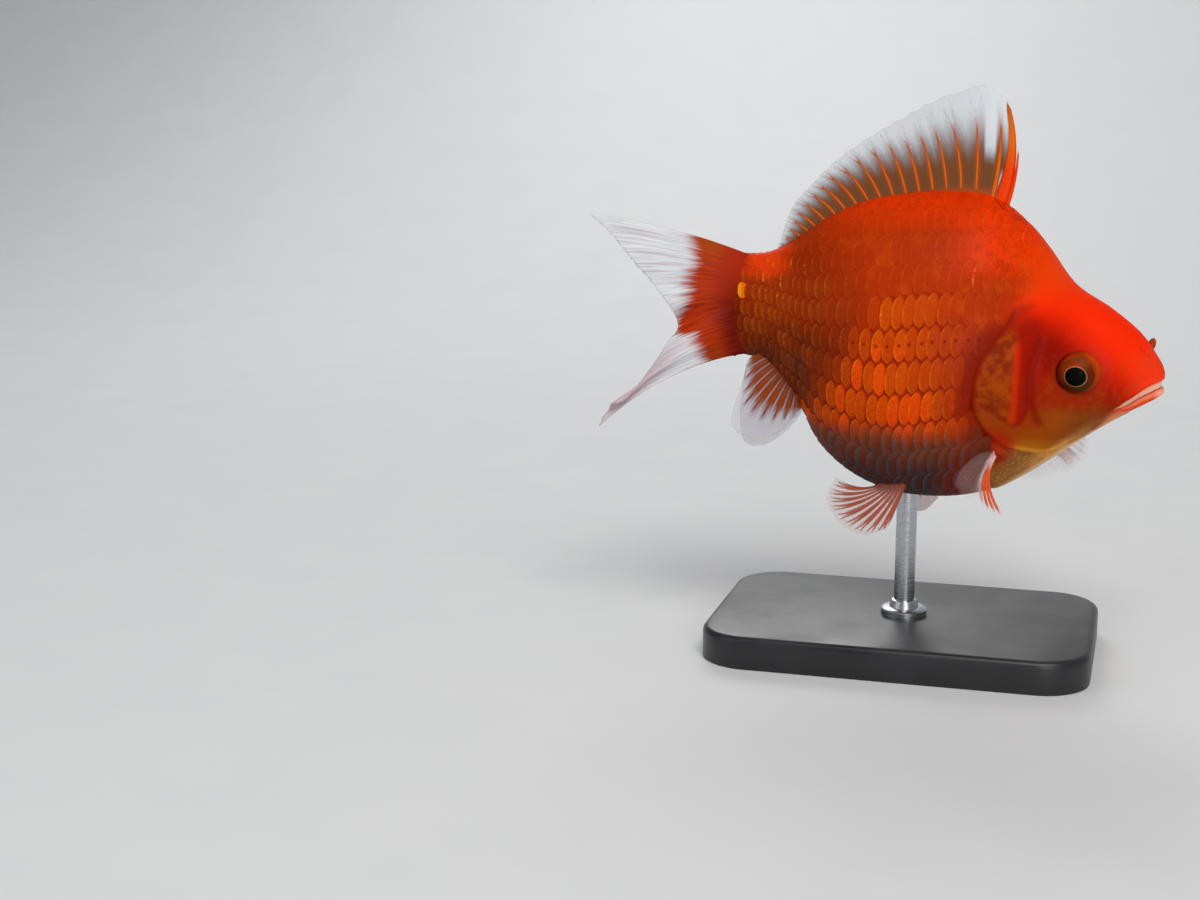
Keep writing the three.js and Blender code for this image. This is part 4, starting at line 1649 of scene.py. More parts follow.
throat = n.plus(above_throat(n, x, z), n.times(wobble, 0.4))
front = n.span(x, 31.0, 34.5)
jaw = n.plus(z, n.times(n.span(x, 44.0, 34.0), 5.0), n.times(wobble, 0.3))
olive = n.times(front, n.span(x, 57.5, 51.0), n.span(jaw, -18.0, -22.5))
olive_tone = n.mix(n.span(x, 48.0, 38.0), colour("84460e"), colour("b2660c"))
tone = n.mix(n.times(olive, 0.95), tone, olive_tone)
tone = n.tint(tone, n.times(front, n.span(x, 54.0, 44.0), n.span(throat, 5.5, 2.5)), "d09250")
tone = n.tint(tone, n.times(front, n.span(x, 62.0, 54.0), n.span(throat, 2.0, 0.2)), "f2cc9c")
chin = n.times(n.span(x, 51.0, 56.0), n.span(throat, 4.2, 1.4))
tone = n.tint(tone, n.times(chin, 0.85), "e88c5c")
chest = n.times(n.span(x, 25.0, 31.0), n.span(z, -28.5, -31.5))
tone = n.tint(tone, n.times(chest, n.span(x, 41.0, 36.0), 0.9), "a46c34")

# reds are kept deep: where a colour has little green, it has a little less
red, green, blue = n.split(tone)
green = n.times(green, n.span(green, 0.03, 0.16, 0.84, 1.0))
out = markings.nodes.new("NodeGroupOutput")
markings.links.new(n.join(red, green, blue), out.inputs[0])
n.count("markings")

# %% [markdown]
# ### Skin
#
# Wet skin scatters light beneath a smooth film of slime. Subsurface scattering softens it, a thin clear
# coat gives the film, and fine noise in the bump breaks up the shine.
#
# The colours start from the markings, and the masks that the relief left add to them. The gill cover comes
# first: a mottled brown plate with a red ridge and a golden fold below. Painted shade darkens its grooves,
# its rear edge and the band between the plate and the cheek groove.

# %% Gill cover's colours
skin_look, n, shader = new_material("goldfish skin")
place = n.fish_place()
base = n.add("Group", node_tree=markings).outputs[0]
x, y, z = n.split(place)
cloud = n.noise(place, 0.4, 3.0)
# painted shade in the band between the gill cover's plate and the cheek groove
rear_cheek_shade = n.times(n.span(x, 40.0, 37.5), n.span(x, 33.0, 35.0))
rear_cheek_shade = n.times(rear_cheek_shade, n.span(z, 4.0, -3.0), n.span(z, -26.0, -21.0))
base = n.tint(base, n.times(rear_cheek_shade, 0.8), "961402")
plate = n.mix(n.span(cloud, 0.34, 0.66), colour("a84604"), colour("7e2602"))
base = n.mix(n.times(n.value("cover"), 0.85), base, plate)
base = n.tint(base, n.times(n.value("lower_cover"), n.span(z, -29.0, -26.0), 0.8), "963a04")
base = n.tint(base, n.times(n.value("ridge"), 0.75), "d02c02")
base = n.tint(base, n.times(n.value("fold"), n.span(x, 31.0, 36.0), 0.5), "e4a030")
# painted shade in the grooves and along the gill cover's rear edge
base = n.tint(base, n.times(n.value("groove"), 0.7), "861202")
base = n.tint(base, n.times(n.value("gill_edge"), 0.85), "8c1402")
on_cheek = n.times(n.span(z, -5.0, -11.0), n.span(x, 37.0, 41.0))
smudge = n.times(n.span(n.noise(place, 0.6, 3.0), 0.45, 0.7), on_cheek)
base = n.tint(base, n.times(smudge, 0.3), "a04c0c")
n.count("skin so far")

# %% [markdown]
# The breast, between the gill covers and the first scales, is brown skin with golden specks. It is red
# where the pectoral fins grow out of it.

# %% Breast's colours
specks = n.span(n.noise(place, 1.5, 3.0, 0.7), 0.5, 0.62)
breast = n.mix(n.span(n.noise(place, 0.6, 3.0, 0.6), 0.35, 0.7), colour("de9850"), colour("c07a3a"))
throat = above_throat(n, x, z)
breast = n.tint(breast, n.span(throat, 3.4, 6.8), "8c5222")
breast = n.tint(breast, n.times(n.span(x, 40.0, 34.5), 0.8), "945c2c")
breast = n.tint(breast, n.times(specks, 0.4), "e4b45c")
breast = n.tint(breast, n.span(throat, 2.6, 0.4), "f6c894")
base = n.mix(n.times(n.value("breast"), 0.95), base, breast)
armpit = n.distance(place, (28.5, -16.0, -29.5))
base = n.tint(base, n.times(n.span(armpit, 8.0, 3.0), 0.85), "a41c04")
n.count("skin so far")

# %% [markdown]
# Painted shadow darkens the socket round the eye, most behind and below it. The mouth has a pale band under
# the snout, and the lower lip is orange-red with paler edges and a pale front. Painted shade darkens the
# mouth's slit and the nostrils.

# %% Eye socket's and mouth's colours
# painted shadow in the eye's socket
base = n.tint(base, n.times(n.value("socket"), 0.5), "84240a")
base = n.tint(base, n.times(n.value("band"), 0.9), "ffc0a4")
base = n.tint(base, n.times(n.value("lip"), 0.9), "f0481c")
base = n.tint(base, n.times(n.value("lip_edge"), n.span(x, 55.0, 60.0, 0.3, 0.85)), "fcac8c")
knob = n.times(n.value("lip"), n.span(x, 64.0, 66.0))
base = n.tint(base, n.times(knob, 0.8), "fcb498")
# painted shade in the mouth's slit and the nostril pits
base = n.tint(base, n.times(n.value("mouth"), 0.5), "b02c10")
base = n.tint(base, n.value("nostril_flap"), "a83c14")
link(n, base, shader, "Base Color")
n.count("skin so far")

# %% [markdown]
# The skin's surface is nearly smooth. Its gloss is weak, so that the red stays deep, and it varies a
# little from place to place.

# %% Skin's surface
pores = n.add("TexVoronoi", {"Vector": place, "Scale": 2.2}).outputs["Distance"]
grain = n.plus(n.noise(place, 1.6, 4.0, 0.6), n.times(pores, 0.25))
link(n, n.bump(grain, 0.0003, 0.22), shader, "Normal")
link(n, n.span(n.noise(place, 0.7, 3.0), 0.3, 0.7, 0.38, 0.54), shader, "Roughness")
shader.inputs["Specular IOR Level"].default_value = 0.03
shader.inputs["Coat Weight"].default_value = 0.02
shader.inputs["Coat Roughness"].default_value = 0.2
shader.inputs["Subsurface Weight"].default_value = 0.12
shader.inputs["Subsurface Radius"].default_value = (1.0, 0.35, 0.15)
shader.inputs["Subsurface Scale"].default_value = 0.0015
skin.data.materials.append(skin_look)
n.count("skin")

# %% [markdown]
# ### Scales
#
# A scale adds to the markings what is its own. Its material could be drawn once and repeated, but then all
# scales would be alike. This one reads each scale's maps, so that every scale differs a little.
#
# First come the places on a scale: how far it is to the free edge and to the middle line, and how far
# from the heart of the scale's oval.

# %% Places on a scale
scale_look, n, shader = new_material("goldfish scales")
place = n.fish_place()
base = n.add("Group", node_tree=markings).outputs[0]
across, edge, _ = n.uv("ScaleMap")
own, bold, _ = n.uv("ScaleTone")
pore_row, golden, _ = n.uv("ScaleMark")
x, y, z = n.split(place)
edge = n.times(edge, EDGE_UNIT)
off_middle = n.times(n.math("ABSOLUTE", n.minus(across, 0.5)), 2.0)
belly = n.times(n.span(z, -23.0, -30.0), n.span(x, -24.0, -16.0))
flank = n.times(n.minus(1.0, belly), n.span(bold, 0.25, 1.05))

tip = n.plus(edge, n.times(n.math("POWER", off_middle, 3.6), 3.5))
heart_side = n.times(n.math("POWER", off_middle, 2.0), 1.75)
oval = n.length(n.join(n.times(n.minus(tip, 1.2), 0.66), heart_side))
n.count("scales so far")

# %% [markdown]
# Each scale of the flank has an orange oval, whose bright middle is painted light, as a domed plate would
# catch it, and some below are brighter still. Behind, the ovals are olive brown and faint, with the same
# painted light in their middles.

# %% A scale's oval
shine = n.span(own, 0.0, 1.0, 0.5, 0.95)
brightest = n.times(n.span(own, 0.5, 0.8), n.span(z, -2.0, -8.0), n.span(x, 18.0, 12.0), 0.8)
lobe_tone = n.mix(brightest, colour("d05002"), colour("f04a02"))
soft_shade = n.span(n.noise(place, 1.0, 3.0), 0.3, 0.7, 0.6, 1.0)
# painted light: the middle of each oval is lit as on a domed plate
base = n.mix(n.times(n.span(oval, 1.15, 0.72), flank, shine, soft_shade), base, lobe_tone)
off_flank = n.minus(1.0, flank)
off_belly = n.minus(1.0, belly)
# painted light in the middles of the olive-brown ovals behind
rear_oval_light = n.times(n.span(x, 2.0, -10.0), n.span(oval, 1.15, 0.6), off_flank, soft_shade)
rear_oval_light = n.times(rear_oval_light, off_belly, n.span(z, 12.0, 4.0))
base = n.tint(base, n.times(rear_oval_light, n.span(own, 0.0, 1.0, 0.12, 0.45)), "923c08")
n.count("scales so far")

# %% [markdown]
# Painted shadow makes a dark crease round the oval, where the next scale covers this one. A thin golden rim
# of painted highlight follows the free edge, broken here and there. It widens into streaks of painted
# glints behind, and a few scales carry a short bright dash, a painted glint.

# %% A scale's crease and rim
# painted shadow of the next scale's edge, round the oval
crease = n.times(n.span(oval, 0.9, 1.22), n.span(edge, -0.1, 0.2))
crease_shadow = n.times(crease, n.span(bold, 0.1, 0.9, 0.12, 0.66), off_belly)
base = n.tint(base, crease_shadow, "841c02")
# painted highlight along the free edge, golden on the flank and grey on the belly
along_edge = n.times(n.span(edge, 0.7, 0.05), n.span(off_middle, 0.95, 0.55))
rim = n.times(along_edge, n.span(bold, 0.2, 1.0, 0.14, 0.45))
rim_highlight_tone = n.mix(belly, colour("e47a0c"), colour("565250"))
rim_highlight_breaks = n.span(n.noise(place, 0.6, 3.0), 0.35, 0.65, 0.2, 1.0)
base = n.mix(n.times(rim, rim_highlight_breaks), base, rim_highlight_tone)
# painted glints in streaks on the scales behind
behind = n.times(n.span(x, -2.0, -12.0), n.span(z, 14.0, 8.0), n.span(z, -11.0, -6.0))
broken = n.span(n.noise(place, 0.9, 3.0), 0.4, 0.62)
glint_streaks = n.times(behind, n.span(edge, 1.1, 0.4), n.span(off_middle, 0.8, 0.3), broken)
base = n.tint(base, n.times(glint_streaks, n.span(own, 0.2, 1.0, 0.15, 0.75)), "a85608")
on_stalk = n.times(n.span(x, -31.0, -27.0), n.span(x, -14.0, -20.0))
glints = n.times(on_stalk, n.span(z, 1.0, 5.0), n.span(z, 13.0, 9.0))
rare = n.plus(0.94, n.times(glints, -0.5))
# painted glint: a short bright dash on a few scales
glint_dash = n.times(n.span(edge, 0.6, 0.4), n.span(edge, 0.1, 0.2), n.span(off_middle, 0.5, 0.2))
glint_dash = n.times(glint_dash, n.span(broken, 0.2, 0.8))
lit = n.times(n.span(n.minus(own, rare), 0.0, 0.01), n.span(z, -12.0, -6.0))
base = n.tint(base, n.times(glint_dash, lit, 0.7), "f47a14")
n.count("scales so far")

# %% [markdown]
# On the belly the rims are broad, with a painted slate-blue reflection, round a brown middle. The scales in
# front, behind the pectoral fin, are browner.

# %% Belly scales
# painted reflection: slate blue on the belly's broad rims
belly_reflection = n.times(belly, n.span(edge, 1.5, 0.6), n.span(x, 20.0, 26.0, 1.0, 0.35))
base = n.tint(base, n.times(belly_reflection, n.span(own, 0.0, 1.0, 0.2, 0.5)), "464c56")
inner = n.times(belly, n.span(edge, 1.0, 1.8), n.span(off_middle, 0.9, 0.5))
base = n.tint(base, n.times(inner, 0.5), "5e2c16")
base = n.tint(base, n.times(n.span(x, 21.0, 26.0), n.span(z, -22.0, -26.0), 0.6), "543020")
n.count("scales so far")

# %% [markdown]
# A pore sits in each scale of the lateral line, darkened by painted shade, and one scale on the tail stalk
# is golden.

# %% Pores and the golden scale
# painted shade in the pore of each scale of the lateral line
pore_shade = n.length(n.join(n.times(off_middle, 4.0), n.minus(edge, 1.2)))
base = n.tint(base, n.times(n.span(pore_shade, 0.55, 0.15), pore_row, 0.75), "6e1000")
golden_part = n.times(golden, n.span(oval, 1.15, 0.9))
golden_tone = n.mix(n.span(tip, 0.3, 1.4), colour("ffa018"), colour("f4700c"))
base = n.mix(n.times(golden_part, 0.92), base, golden_tone)
link(n, base, shader, "Base Color")
n.count("scales so far")

# %% [markdown]
# A real scale has fine furrows that fan out towards its edge, and growth rings across them. Both are too
# fine for geometry, so they are bump.

# %% Scales' surface
fan = n.math("SINE", n.times(across, 70.0))
fan = n.times(fan, n.span(edge, 3.0, 1.0, 0.0, 0.3))
rings = n.math("SINE", n.times(edge, 16.0))
grain = n.plus(fan, n.times(rings, 0.2), n.noise(place, 2.0, 3.0))
link(n, n.bump(grain, 0.0003, 0.22), shader, "Normal")
link(n, n.span(n.noise(place, 0.7, 3.0), 0.3, 0.7, 0.4, 0.55), shader, "Roughness")
shader.inputs["Specular IOR Level"].default_value = 0.03
shader.inputs["Coat Weight"].default_value = 0.02
shader.inputs["Coat Roughness"].default_value = 0.24
for piece in (scales_left, scales_right):
    piece.data.materials.append(scale_look)
n.count("scales")

# %% [markdown]
# ### Fins
#
# A fin's membrane and its rays take their colours from the same few numbers: the share s from first ray
# to last, the share t from root to edge, how near the closest ray is, and how far out the place lies in
# millimetres. A streaky noise that runs along the rays makes the colours end raggedly.

# %% Fin helpers


class FinLook(FishNodes):
    """A fin's material with its places already read."""

    def __init__(self, name):
        self.material, nodes, self.shader = new_material(name)
        super().__init__(nodes.tree)
        self.s, self.t, _ = self.uv("FinMap")
        phase, reach, _ = self.uv("FinThread")
        self.reach = self.times(reach, THREAD_UNIT)
        self.off_ray = self.math("MINIMUM", phase, self.minus(1.0, phase))
        thread = self.join(self.times(self.s, 70.0), self.times(self.t, 2.5))
        self.streak = self.noise(thread, 1.0, 3.0)
        self.slow = self.noise(self.join(self.times(self.s, 9.0)), 1.0, 2.0)

    def finish(self, tone, alpha=1.0, ridges=0.12):
        """The material, with its colour, its opacity and the height of its fine ridges."""
        link(self, tone, self.shader, "Base Color")
        if alpha != 1.0:
            link(self, alpha, self.shader, "Alpha")
        link(self, self.bump(self.streak, 0.0002, ridges), self.shader, "Normal")
        self.shader.inputs["Roughness"].default_value = 0.42
        self.shader.inputs["Specular IOR Level"].default_value = 0.07
        return self.material


# %% [markdown]
# The dorsal fin is brown between its rays near the root and clear beyond. The gap behind the first spine is
# clear. The limit between the two could be one line, but on the fish it creeps outwards beside each ray,
# so the distance from the closest ray shifts it.

# %% Dorsal fin's membrane
n = FinLook("dorsal fin membrane")
level = n.plus(n.t, n.times(n.minus(n.streak, 0.5), 0.08), n.times(n.off_ray, 0.22))
level = n.plus(level, n.times(n.minus(n.slow, 0.5), 0.2), n.span(n.s, 0.3, 0.9, 0.0, -0.16))
brown = n.span(level, 0.98, 0.4)
clear_gap = n.times(n.span(n.s, 0.012, 0.022), n.span(n.s, 0.045, 0.035), n.span(n.t, 0.34, 0.22))
behind_second = n.times(n.span(n.s, 0.07, 0.085), n.span(n.s, 0.135, 0.12), n.span(n.t, 0.3, 0.5))
brown = n.times(brown, n.minus(1.0, n.math("MAXIMUM", clear_gap, behind_second)))
root_tone = n.mix(n.span(n.t, 0.02, 0.16), colour("c04408"), colour("74400e"))
root_tone = n.tint(root_tone, n.times(n.span(n.off_ray, 0.3, 0.0), 0.6), "a8500c")
milky = n.times(n.span(n.s, 0.34, 0.05), n.span(n.t, 0.3, 0.7))
clear = n.mix(milky, colour("98a4b2"), colour("dde4ec"))
tone = n.mix(brown, clear, root_tone)
alpha = n.plus(n.times(brown, 0.72), 0.13, n.times(milky, 0.14))
dorsal_film = n.finish(tone, alpha, 0.03)
n.count("dorsal fin's membrane")

# %% [markdown]
# The dorsal fin's rays are orange for most of their length and end in fine white branches. The spine is
# red-orange to its tip.

# %% Dorsal fin's rays
n = FinLook("dorsal fin rays")
level = n.plus(n.t, n.times(n.minus(n.slow, 0.5), 0.2), n.span(n.s, 0.04, 0.0, 0.0, -0.35))
level = n.plus(level, n.span(n.s, 0.25, 0.7, 0.0, -0.14))
orange = n.mix(n.span(level, 0.3, 0.66), colour("dc6208"), colour("b85a1c"))
tone = n.mix(n.span(level, 0.62, 0.8), orange, colour("f0f2f6"))
tone = n.tint(tone, n.times(n.span(n.s, 0.04, 0.0), n.span(n.t, 0.62, 0.3)), "e83e02")
dorsal_rays = n.finish(tone, n.span(level, 0.62, 0.88, 1.0, 0.16))
n.count("dorsal fin's rays")

# %% [markdown]
# The tail is opaque orange-red as far as a ragged line some thirteen millimetres out, and milky white
# with fine pinkish lines beyond it. Its lower tip is pinker.

# %% Tail fin


def tail_tone(n):
    """The tail's colours and how far it has turned white."""
    ragged = n.times(n.minus(n.streak, 0.5), 7.0)
    sway = n.times(n.minus(n.slow, 0.5), 3.0)
    fork = n.times(n.span(n.s, 0.4, 0.52), n.span(n.s, 0.66, 0.56), -4.0)
    level = n.plus(n.reach, ragged, sway, fork, n.span(n.s, 0.0, 0.2, -1.6, 0.6))
    white = n.span(level, 11.2, 15.4)
    fine = n.noise(n.join(n.times(n.s, 150.0), n.times(n.t, 2.0)), 1.0, 2.0)
    red = n.mix(n.span(fine, 0.35, 0.7), colour("b83404"), colour("8c2004"))
    root = n.mix(n.span(n.s, 0.1, 0.6), colour("a42404"), colour("641004"))
    root = n.tint(root, n.times(n.span(fine, 0.5, 0.65), 0.35), "b83208")
    root = n.tint(root, n.times(n.span(n.plus(n.reach, n.times(ragged, 0.5)), 2.4, 0.6), 0.25), "6a1c06")
    red = n.mix(n.span(n.plus(n.reach, n.times(ragged, 0.6)), 9.0, 3.0), red, root)
    red = n.tint(red, n.times(n.span(n.s, 0.25, 0.0), n.span(n.reach, 5.0, 10.0), 0.6), "a04808")
    red = n.tint(red, n.times(n.span(n.s, 0.7, 1.0), n.span(n.reach, 5.0, 10.0), 0.7), "84380c")
    milk = n.mix(n.span(fine, 0.42, 0.7), colour("e6eaee"), colour("c6bcc2"))
    milk = n.tint(milk, n.times(n.span(n.s, 0.58, 0.75), n.span(n.t, 0.4, 0.9), 0.65), "c8a4ac")
    return n.mix(white, red, milk), white


n = FinLook("tail fin membrane")
tone, white = tail_tone(n)
tail_film = n.finish(tone, n.plus(1.0, n.times(white, -0.2)), 0.16)
n = FinLook("tail fin rays")
tone, white = tail_tone(n)
tail_rays = n.finish(n.tint(tone, n.times(white, 0.2), "c4b8be"))
n.count("tail fin's rays")

# %% [markdown]
# The anal and pelvic fins have broad brown-orange rays in a membrane that is nearly clear. They differ only
# in their numbers, so one function makes them all.

# %% Anal and pelvic fins


def lower_fin(name, ray, tip, film, film_alpha, edge_alpha, turn, gap):
    """Membrane and rays. The rays' colour ends at the share turn, and reaches gap into the membrane."""
    n = FinLook(f"{name} membrane")
    level = n.plus(n.t, n.times(n.minus(n.streak, 0.5), 0.3))
    beside_ray = n.times(n.span(n.off_ray, gap, gap - 0.2), n.span(level, turn + 0.15, turn - 0.15))
    root = n.span(n.t, 0.24, 0.04)
    coloured = n.math("MAXIMUM", beside_ray, root)
    varied = n.tint(colour(ray), n.times(n.span(n.streak, 0.4, 0.65), 0.5), "5c2408")
    tone = n.mix(coloured, colour(film), varied)
    see = n.span(n.t, 0.5, 1.0, film_alpha, edge_alpha)
    alpha = n.plus(see, n.times(coloured, 0.95 - film_alpha))
    membrane = n.finish(tone, n.math("MINIMUM", alpha, 1.0), 0.03)
    n = FinLook(f"{name} rays")
    level = n.plus(n.t, n.times(n.minus(n.streak, 0.5), 0.3))
    tone = n.mix(n.span(level, turn, turn + 0.3), colour(ray), colour(tip))
    rays = n.finish(tone, n.span(n.t, turn - 0.05, turn + 0.22, 1.0, 0.0))
    return membrane, rays


anal_looks = lower_fin(
    "anal fin",
    ray="8c3c12",
    tip="ccc4ca",
    film="c0bcc6",
    film_alpha=0.34,
    edge_alpha=0.22,
    turn=0.56,
    gap=0.55,
)
right_pelvic_looks = lower_fin(
    "right pelvic fin",
    ray="a8543c",
    tip="b87868",
    film="c49c98",
    film_alpha=0.3,
    edge_alpha=0.12,
    turn=0.8,
    gap=0.4,
)
left_pelvic_looks = lower_fin(
    "left pelvic fin",
    ray="d8805c",
    tip="f0dcd6",
    film="ecd8d2",
    film_alpha=0.6,
    edge_alpha=0.6,
    turn=0.5,
    gap=0.4,
)
print("materials so far:", len(bpy.data.materials))

# %% [markdown]
# The pectoral fins are folded in mid-stroke. The first rays of the right one are orange, a milky pink
# crease runs down behind them, and the rest is almost clear. The left one is milky all over.

# %% Pectoral fins


def pectoral_fin(name, orange):
    """Membrane and rays. orange says how much the first rays have of it."""
    looks = []
    for part in ("membrane", "rays"):
        n = FinLook(f"{name} {part}")
        crease = n.times(n.span(n.s, 0.26, 0.32), n.span(n.s, 0.46, 0.34), n.span(n.t, 1.0, 0.6))
        lead = n.times(n.span(n.s, 0.31, 0.27), orange)
        near_root = n.times(n.span(n.t, 0.46, 0.3), n.span(n.s, 0.5, 0.36))
        root = n.math("MAXIMUM", n.span(n.t, 0.2, 0.05), near_root)
        solid = n.math("MAXIMUM", crease, root)
        pink = n.mix(n.span(n.t, 0.05, 0.34), colour("d0503c"), colour("ecc6c4"))
        tone = n.mix(solid, colour("ccb0b0"), pink)
        tone = n.tint(tone, n.times(lead, n.span(n.t, 0.3, 0.46), n.span(n.t, 1.05, 0.85)), "e0582c")
        if part == "membrane":
            body = n.math("MAXIMUM", solid, n.times(lead, n.span(n.t, 0.75, 0.35)))
            low = 0.08
        else:
            body = n.math("MAXIMUM", solid, lead)
            low = 0.04
        alpha = n.times(n.plus(low, n.times(body, 0.95 - low)), n.span(n.t, 1.04, 0.84))
        looks.append(n.finish(tone, alpha, 0.03))
    return looks


right_pectoral_looks = pectoral_fin("right pectoral fin", 1.0)
left_pectoral_looks = pectoral_fin("left pectoral fin", 0.15)
print("materials so far:", len(bpy.data.materials))

# %% [markdown]
# Each fin now gets its two materials, first the membrane's and then the rays', in the order of the
# material numbers that its faces carry.

# %% Give the fins their materials
fin_looks = {
    "dorsal": (dorsal_film, dorsal_rays),
    "pectoral_right": right_pectoral_looks,
    "pectoral_left": left_pectoral_looks,
    "pelvic_right": right_pelvic_looks,
    "pelvic_left": left_pelvic_looks,
    "anal_right": anal_looks,
    "anal_left": anal_looks,
    "tail_right": (tail_film, tail_rays),
    "tail_left": (tail_film, tail_rays),
}
for key, looks in fin_looks.items():
    for look in looks:
        fins[key].data.materials.append(look)
print("fins with materials:", len(fin_looks))

# %% [markdown]
# ### Eyes
#
# The eye's colours lie about its pole: a black pupil with a thin pale ring, an iris that is red-brown
# above and behind and darker in front and below, and a reddish border that is orange in front. They could
# be rings of one ramp, but the iris isn't the same all round, so each colour has a direction too.

# %% Iris
eye_look, n, shader = new_material("eye")
ahead, above, _ = n.uv("EyeMap")
ahead = n.times(n.minus(ahead, 0.5), EYE_UNIT)
above = n.times(n.minus(above, 0.5), EYE_UNIT)
radius = n.length(n.join(ahead, above))
unit = n.math("MAXIMUM", radius, 0.1)
to_front = n.math("DIVIDE", ahead, unit)
to_top = n.math("DIVIDE", above, unit)
place = n.fish_place()
fibre = n.noise(place, 1.6, 4.0, 0.65)
tone = n.mix(n.span(to_front, -0.6, 0.5), colour("843606"), colour("662004"))
tone = n.tint(tone, n.span(to_top, -0.2, -0.8), "4e2a08")
tone = n.tint(tone, n.span(to_top, 0.3, 0.8), "7c3406")
upper_rear = n.plus(n.times(to_front, -0.6), n.times(to_top, 0.8))
bright = n.times(n.span(upper_rear, 0.1, 0.85), n.span(radius, 4.2, 3.4))
tone = n.tint(tone, n.times(bright, n.span(radius, 3.7, 2.9), 0.7), "a82e02")
tone = n.tint(tone, n.times(n.span(fibre, 0.4, 0.7), 0.35), "3c1404")
n.count("eye so far")

# %% [markdown]
# The border is a rim of skin-coloured tissue round the iris, with a painted highlight along its upper front
# edge. The pupil is a slightly lying oval.

# %% Eye's border and pupil
border = n.span(radius, 3.9, 4.4)
border_tone = n.mix(n.span(to_top, -0.5, 0.5), colour("8c2a04"), colour("882e04"))
border_tone = n.tint(border_tone, n.span(to_front, 0.2, -0.7), "ac2c04")
border_tone = n.tint(border_tone, n.span(to_front, 0.3, 0.8), "a43604")
tone = n.mix(border, tone, border_tone)
# painted highlight: an orange arc along the border's upper front edge
upper_front_highlight = n.span(n.plus(n.times(to_front, 0.9), n.times(to_top, 0.35)), 0.3, 0.95)
tone = n.tint(tone, n.times(n.span(radius, 4.5, 4.8), upper_front_highlight, 0.85), "c44604")
pupil_radius = n.length(n.join(n.times(ahead, 0.97), n.times(above, 1.04)))
ring = n.times(n.span(pupil_radius, 2.3, 2.38), n.span(pupil_radius, 2.66, 2.5))
tone = n.tint(tone, n.times(ring, n.span(to_top, 0.8, -0.6, 0.35, 0.55)), "c49460")
tone = n.tint(tone, n.span(pupil_radius, 2.38, 2.3), "020202")
link(n, tone, shader, "Base Color")
shader.inputs["Roughness"].default_value = 0.5
shader.inputs["Specular IOR Level"].default_value = 0.05
shader.inputs["Coat Weight"].default_value = 0.02
shader.inputs["Coat Roughness"].default_value = 0.04
for piece in eyes:
    piece.data.materials.append(eye_look)
n.count("eye")

# %% [markdown]
# ### Lacquer and steel
#
# The base is satin black lacquer. A plain black would look like plastic, so a faint patchiness varies its
# colour and gloss, and dust shows in the bump.

# %% Lacquer
lacquer, n, shader = new_material("black lacquer")
place = n.add("TexCoord").outputs["Object"]
dust = n.noise(place, 900.0, 3.0)
patch = n.noise(place, 60.0, 3.0)
link(n, n.mix(n.span(patch, 0.3, 0.7), colour("17171a"), colour("1f1f22")), shader, "Base Color")
link(n, n.span(patch, 0.3, 0.7, 0.32, 0.45), shader, "Roughness")
link(n, n.bump(dust, 0.0002, 0.12), shader, "Normal")
stand_base.data.materials.append(lacquer)
n.count("lacquer")

# %% [markdown]
# The rod is steel, brushed round its axis. Noise that is squeezed along the rod makes the brush's lines.

# %% Steel
steel, n, shader = new_material("brushed steel")
place = n.add("TexCoord").outputs["Object"]
stretched = n.add("Mapping", {"Vector": place, "Scale": (300.0, 300.0, 9000.0)}).outputs[0]
lines = n.noise(stretched, 1.0, 2.0)
link(n, n.mix(n.span(lines, 0.3, 0.7), colour("a8abb0"), colour("c4c7cc")), shader, "Base Color")
link(n, n.span(lines, 0.3, 0.7, 0.22, 0.36), shader, "Roughness")
link(n, n.bump(lines, 0.00005, 0.3), shader, "Normal")
shader.inputs["Metallic"].default_value = 1.0
for piece in (stand_rod, stand_collar):
    piece.data.materials.append(steel)
n.count("steel")

# %% [markdown]
# ## Floor and light
#
# A plain pale sheet is the floor, and it curves up far behind the stand as a studio backdrop does. A grid
# is laid out flat and its rear is then rolled round a quarter circle.

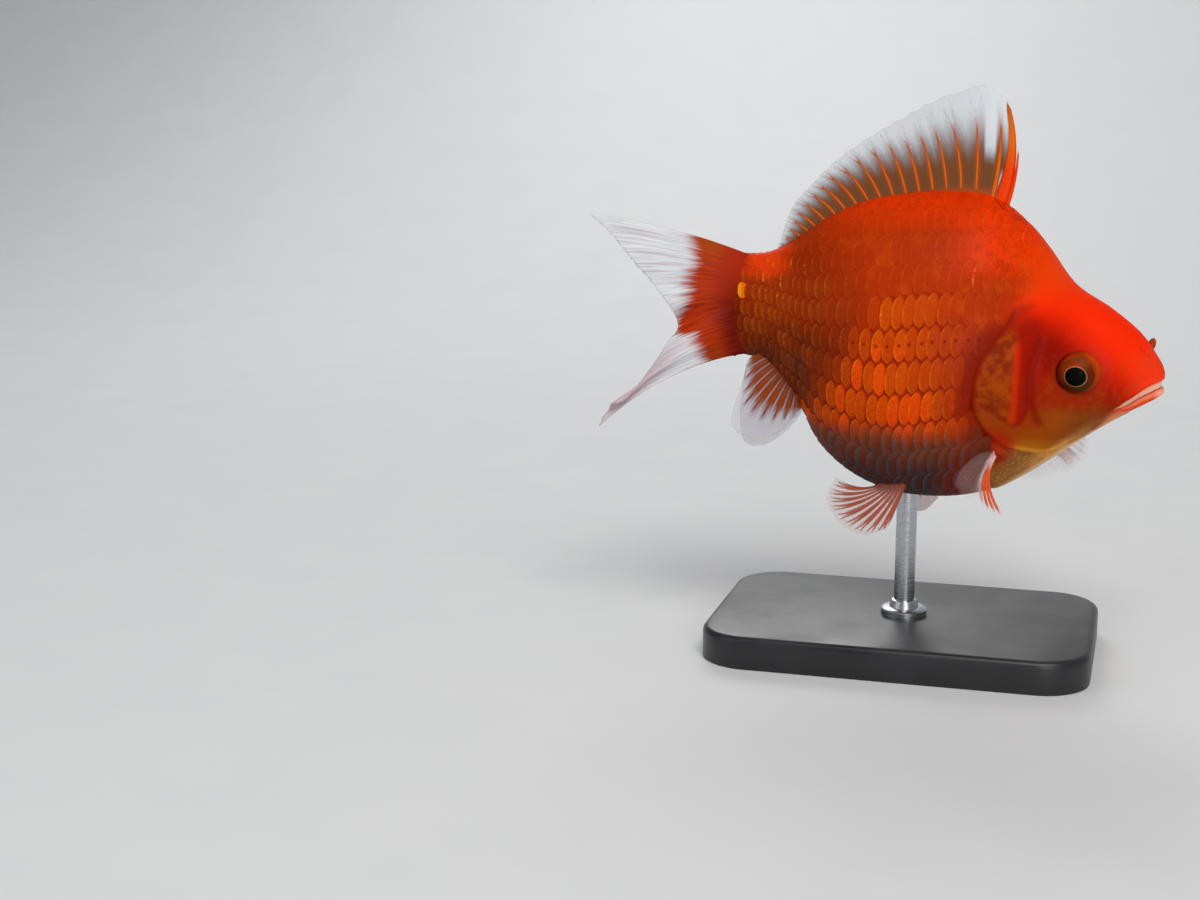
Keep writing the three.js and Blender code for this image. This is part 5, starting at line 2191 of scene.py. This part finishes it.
# %% Floor
SHEET_FRONT = 1.2  # metres in front of the stand
SHEET_WIDTH = 6
SHEET_RUN = 3.2  # from its front edge to its top edge
FLAT_RUN = 1.6  # before it curves
CURVED_RUN = 0.8
CURVE_RADIUS = 0.51
shape = bmesh.new()
bmesh.ops.create_grid(shape, x_segments=2, y_segments=60, size=1)
for vert in shape.verts:
    run = (vert.co.y + 1) * SHEET_RUN / 2
    bend = min(max(run - FLAT_RUN, 0), CURVED_RUN)
    turn = bend / CURVED_RUN * pi / 2
    flat = min(run, FLAT_RUN) + CURVE_RADIUS * sin(turn)
    rise = CURVE_RADIUS * (1 - cos(turn)) + max(run - FLAT_RUN - CURVED_RUN, 0)
    vert.co = Vector((vert.co.x * SHEET_WIDTH / 2, flat - SHEET_FRONT, rise))
floor_mesh = to_mesh(shape, "floor")
floor = bpy.data.objects.new("floor", floor_mesh)
bpy.context.scene.collection.objects.link(floor)
paper, n, shader = new_material("pale paper")
place = n.add("TexCoord").outputs["Object"]
link(n, n.mix(n.noise(place, 40.0, 3.0), colour("d9dadb"), colour("e0e0e0")), shader, "Base Color")
shader.inputs["Roughness"].default_value = 0.9
floor_mesh.materials.append(paper)
print("floor's height at the rear, m:", round(max(v.co.z for v in floor_mesh.vertices), 2))

# %% [markdown]
# Wet skin needs large soft lights, because small ones would burn white spots into it. The key light hangs
# above and in front, two weak ones fill the shadows, and one from behind outlines the back and shines
# through the fins. A pale blue-grey world fills the rest.

# %% Lights


def add_light(name, place, size, power, tint=(1, 1, 1)):
    """A round soft light that is aimed at the fish."""
    data = bpy.data.lights.new(name, "AREA")
    data.shape = "DISK"
    data.size = size
    data.energy = power
    data.color = tint
    lamp = bpy.data.objects.new(name, data)
    lamp.location = Vector(place)
    aim = lamp.location - (fish_origin + Vector((0.01, 0, -0.01)))
    lamp.rotation_euler = aim.to_track_quat("Z", "Y").to_euler()
    bpy.context.scene.collection.objects.link(lamp)
    return lamp


add_light("key", (0.25, -0.55, 0.85), 0.5, 5.2, (1, 0.98, 0.95))
add_light("fill", (-0.7, -0.6, 0.45), 0.8, 1.2, (0.95, 0.98, 1))
add_light("low fill", (0.35, -0.8, 0.17), 0.3, 1.6)
add_light("rim", (-0.25, 0.7, 0.6), 0.5, 2.6)
world = bpy.data.worlds.new("studio")
world.use_nodes = True
world.node_tree.nodes["Background"].inputs[0].default_value = (0.82, 0.86, 0.9, 1)
world.node_tree.nodes["Background"].inputs[1].default_value = 0.3
bpy.context.scene.world = world
bpy.context.scene.view_settings.view_transform = "Standard"
print("lights:", len(bpy.data.lights))
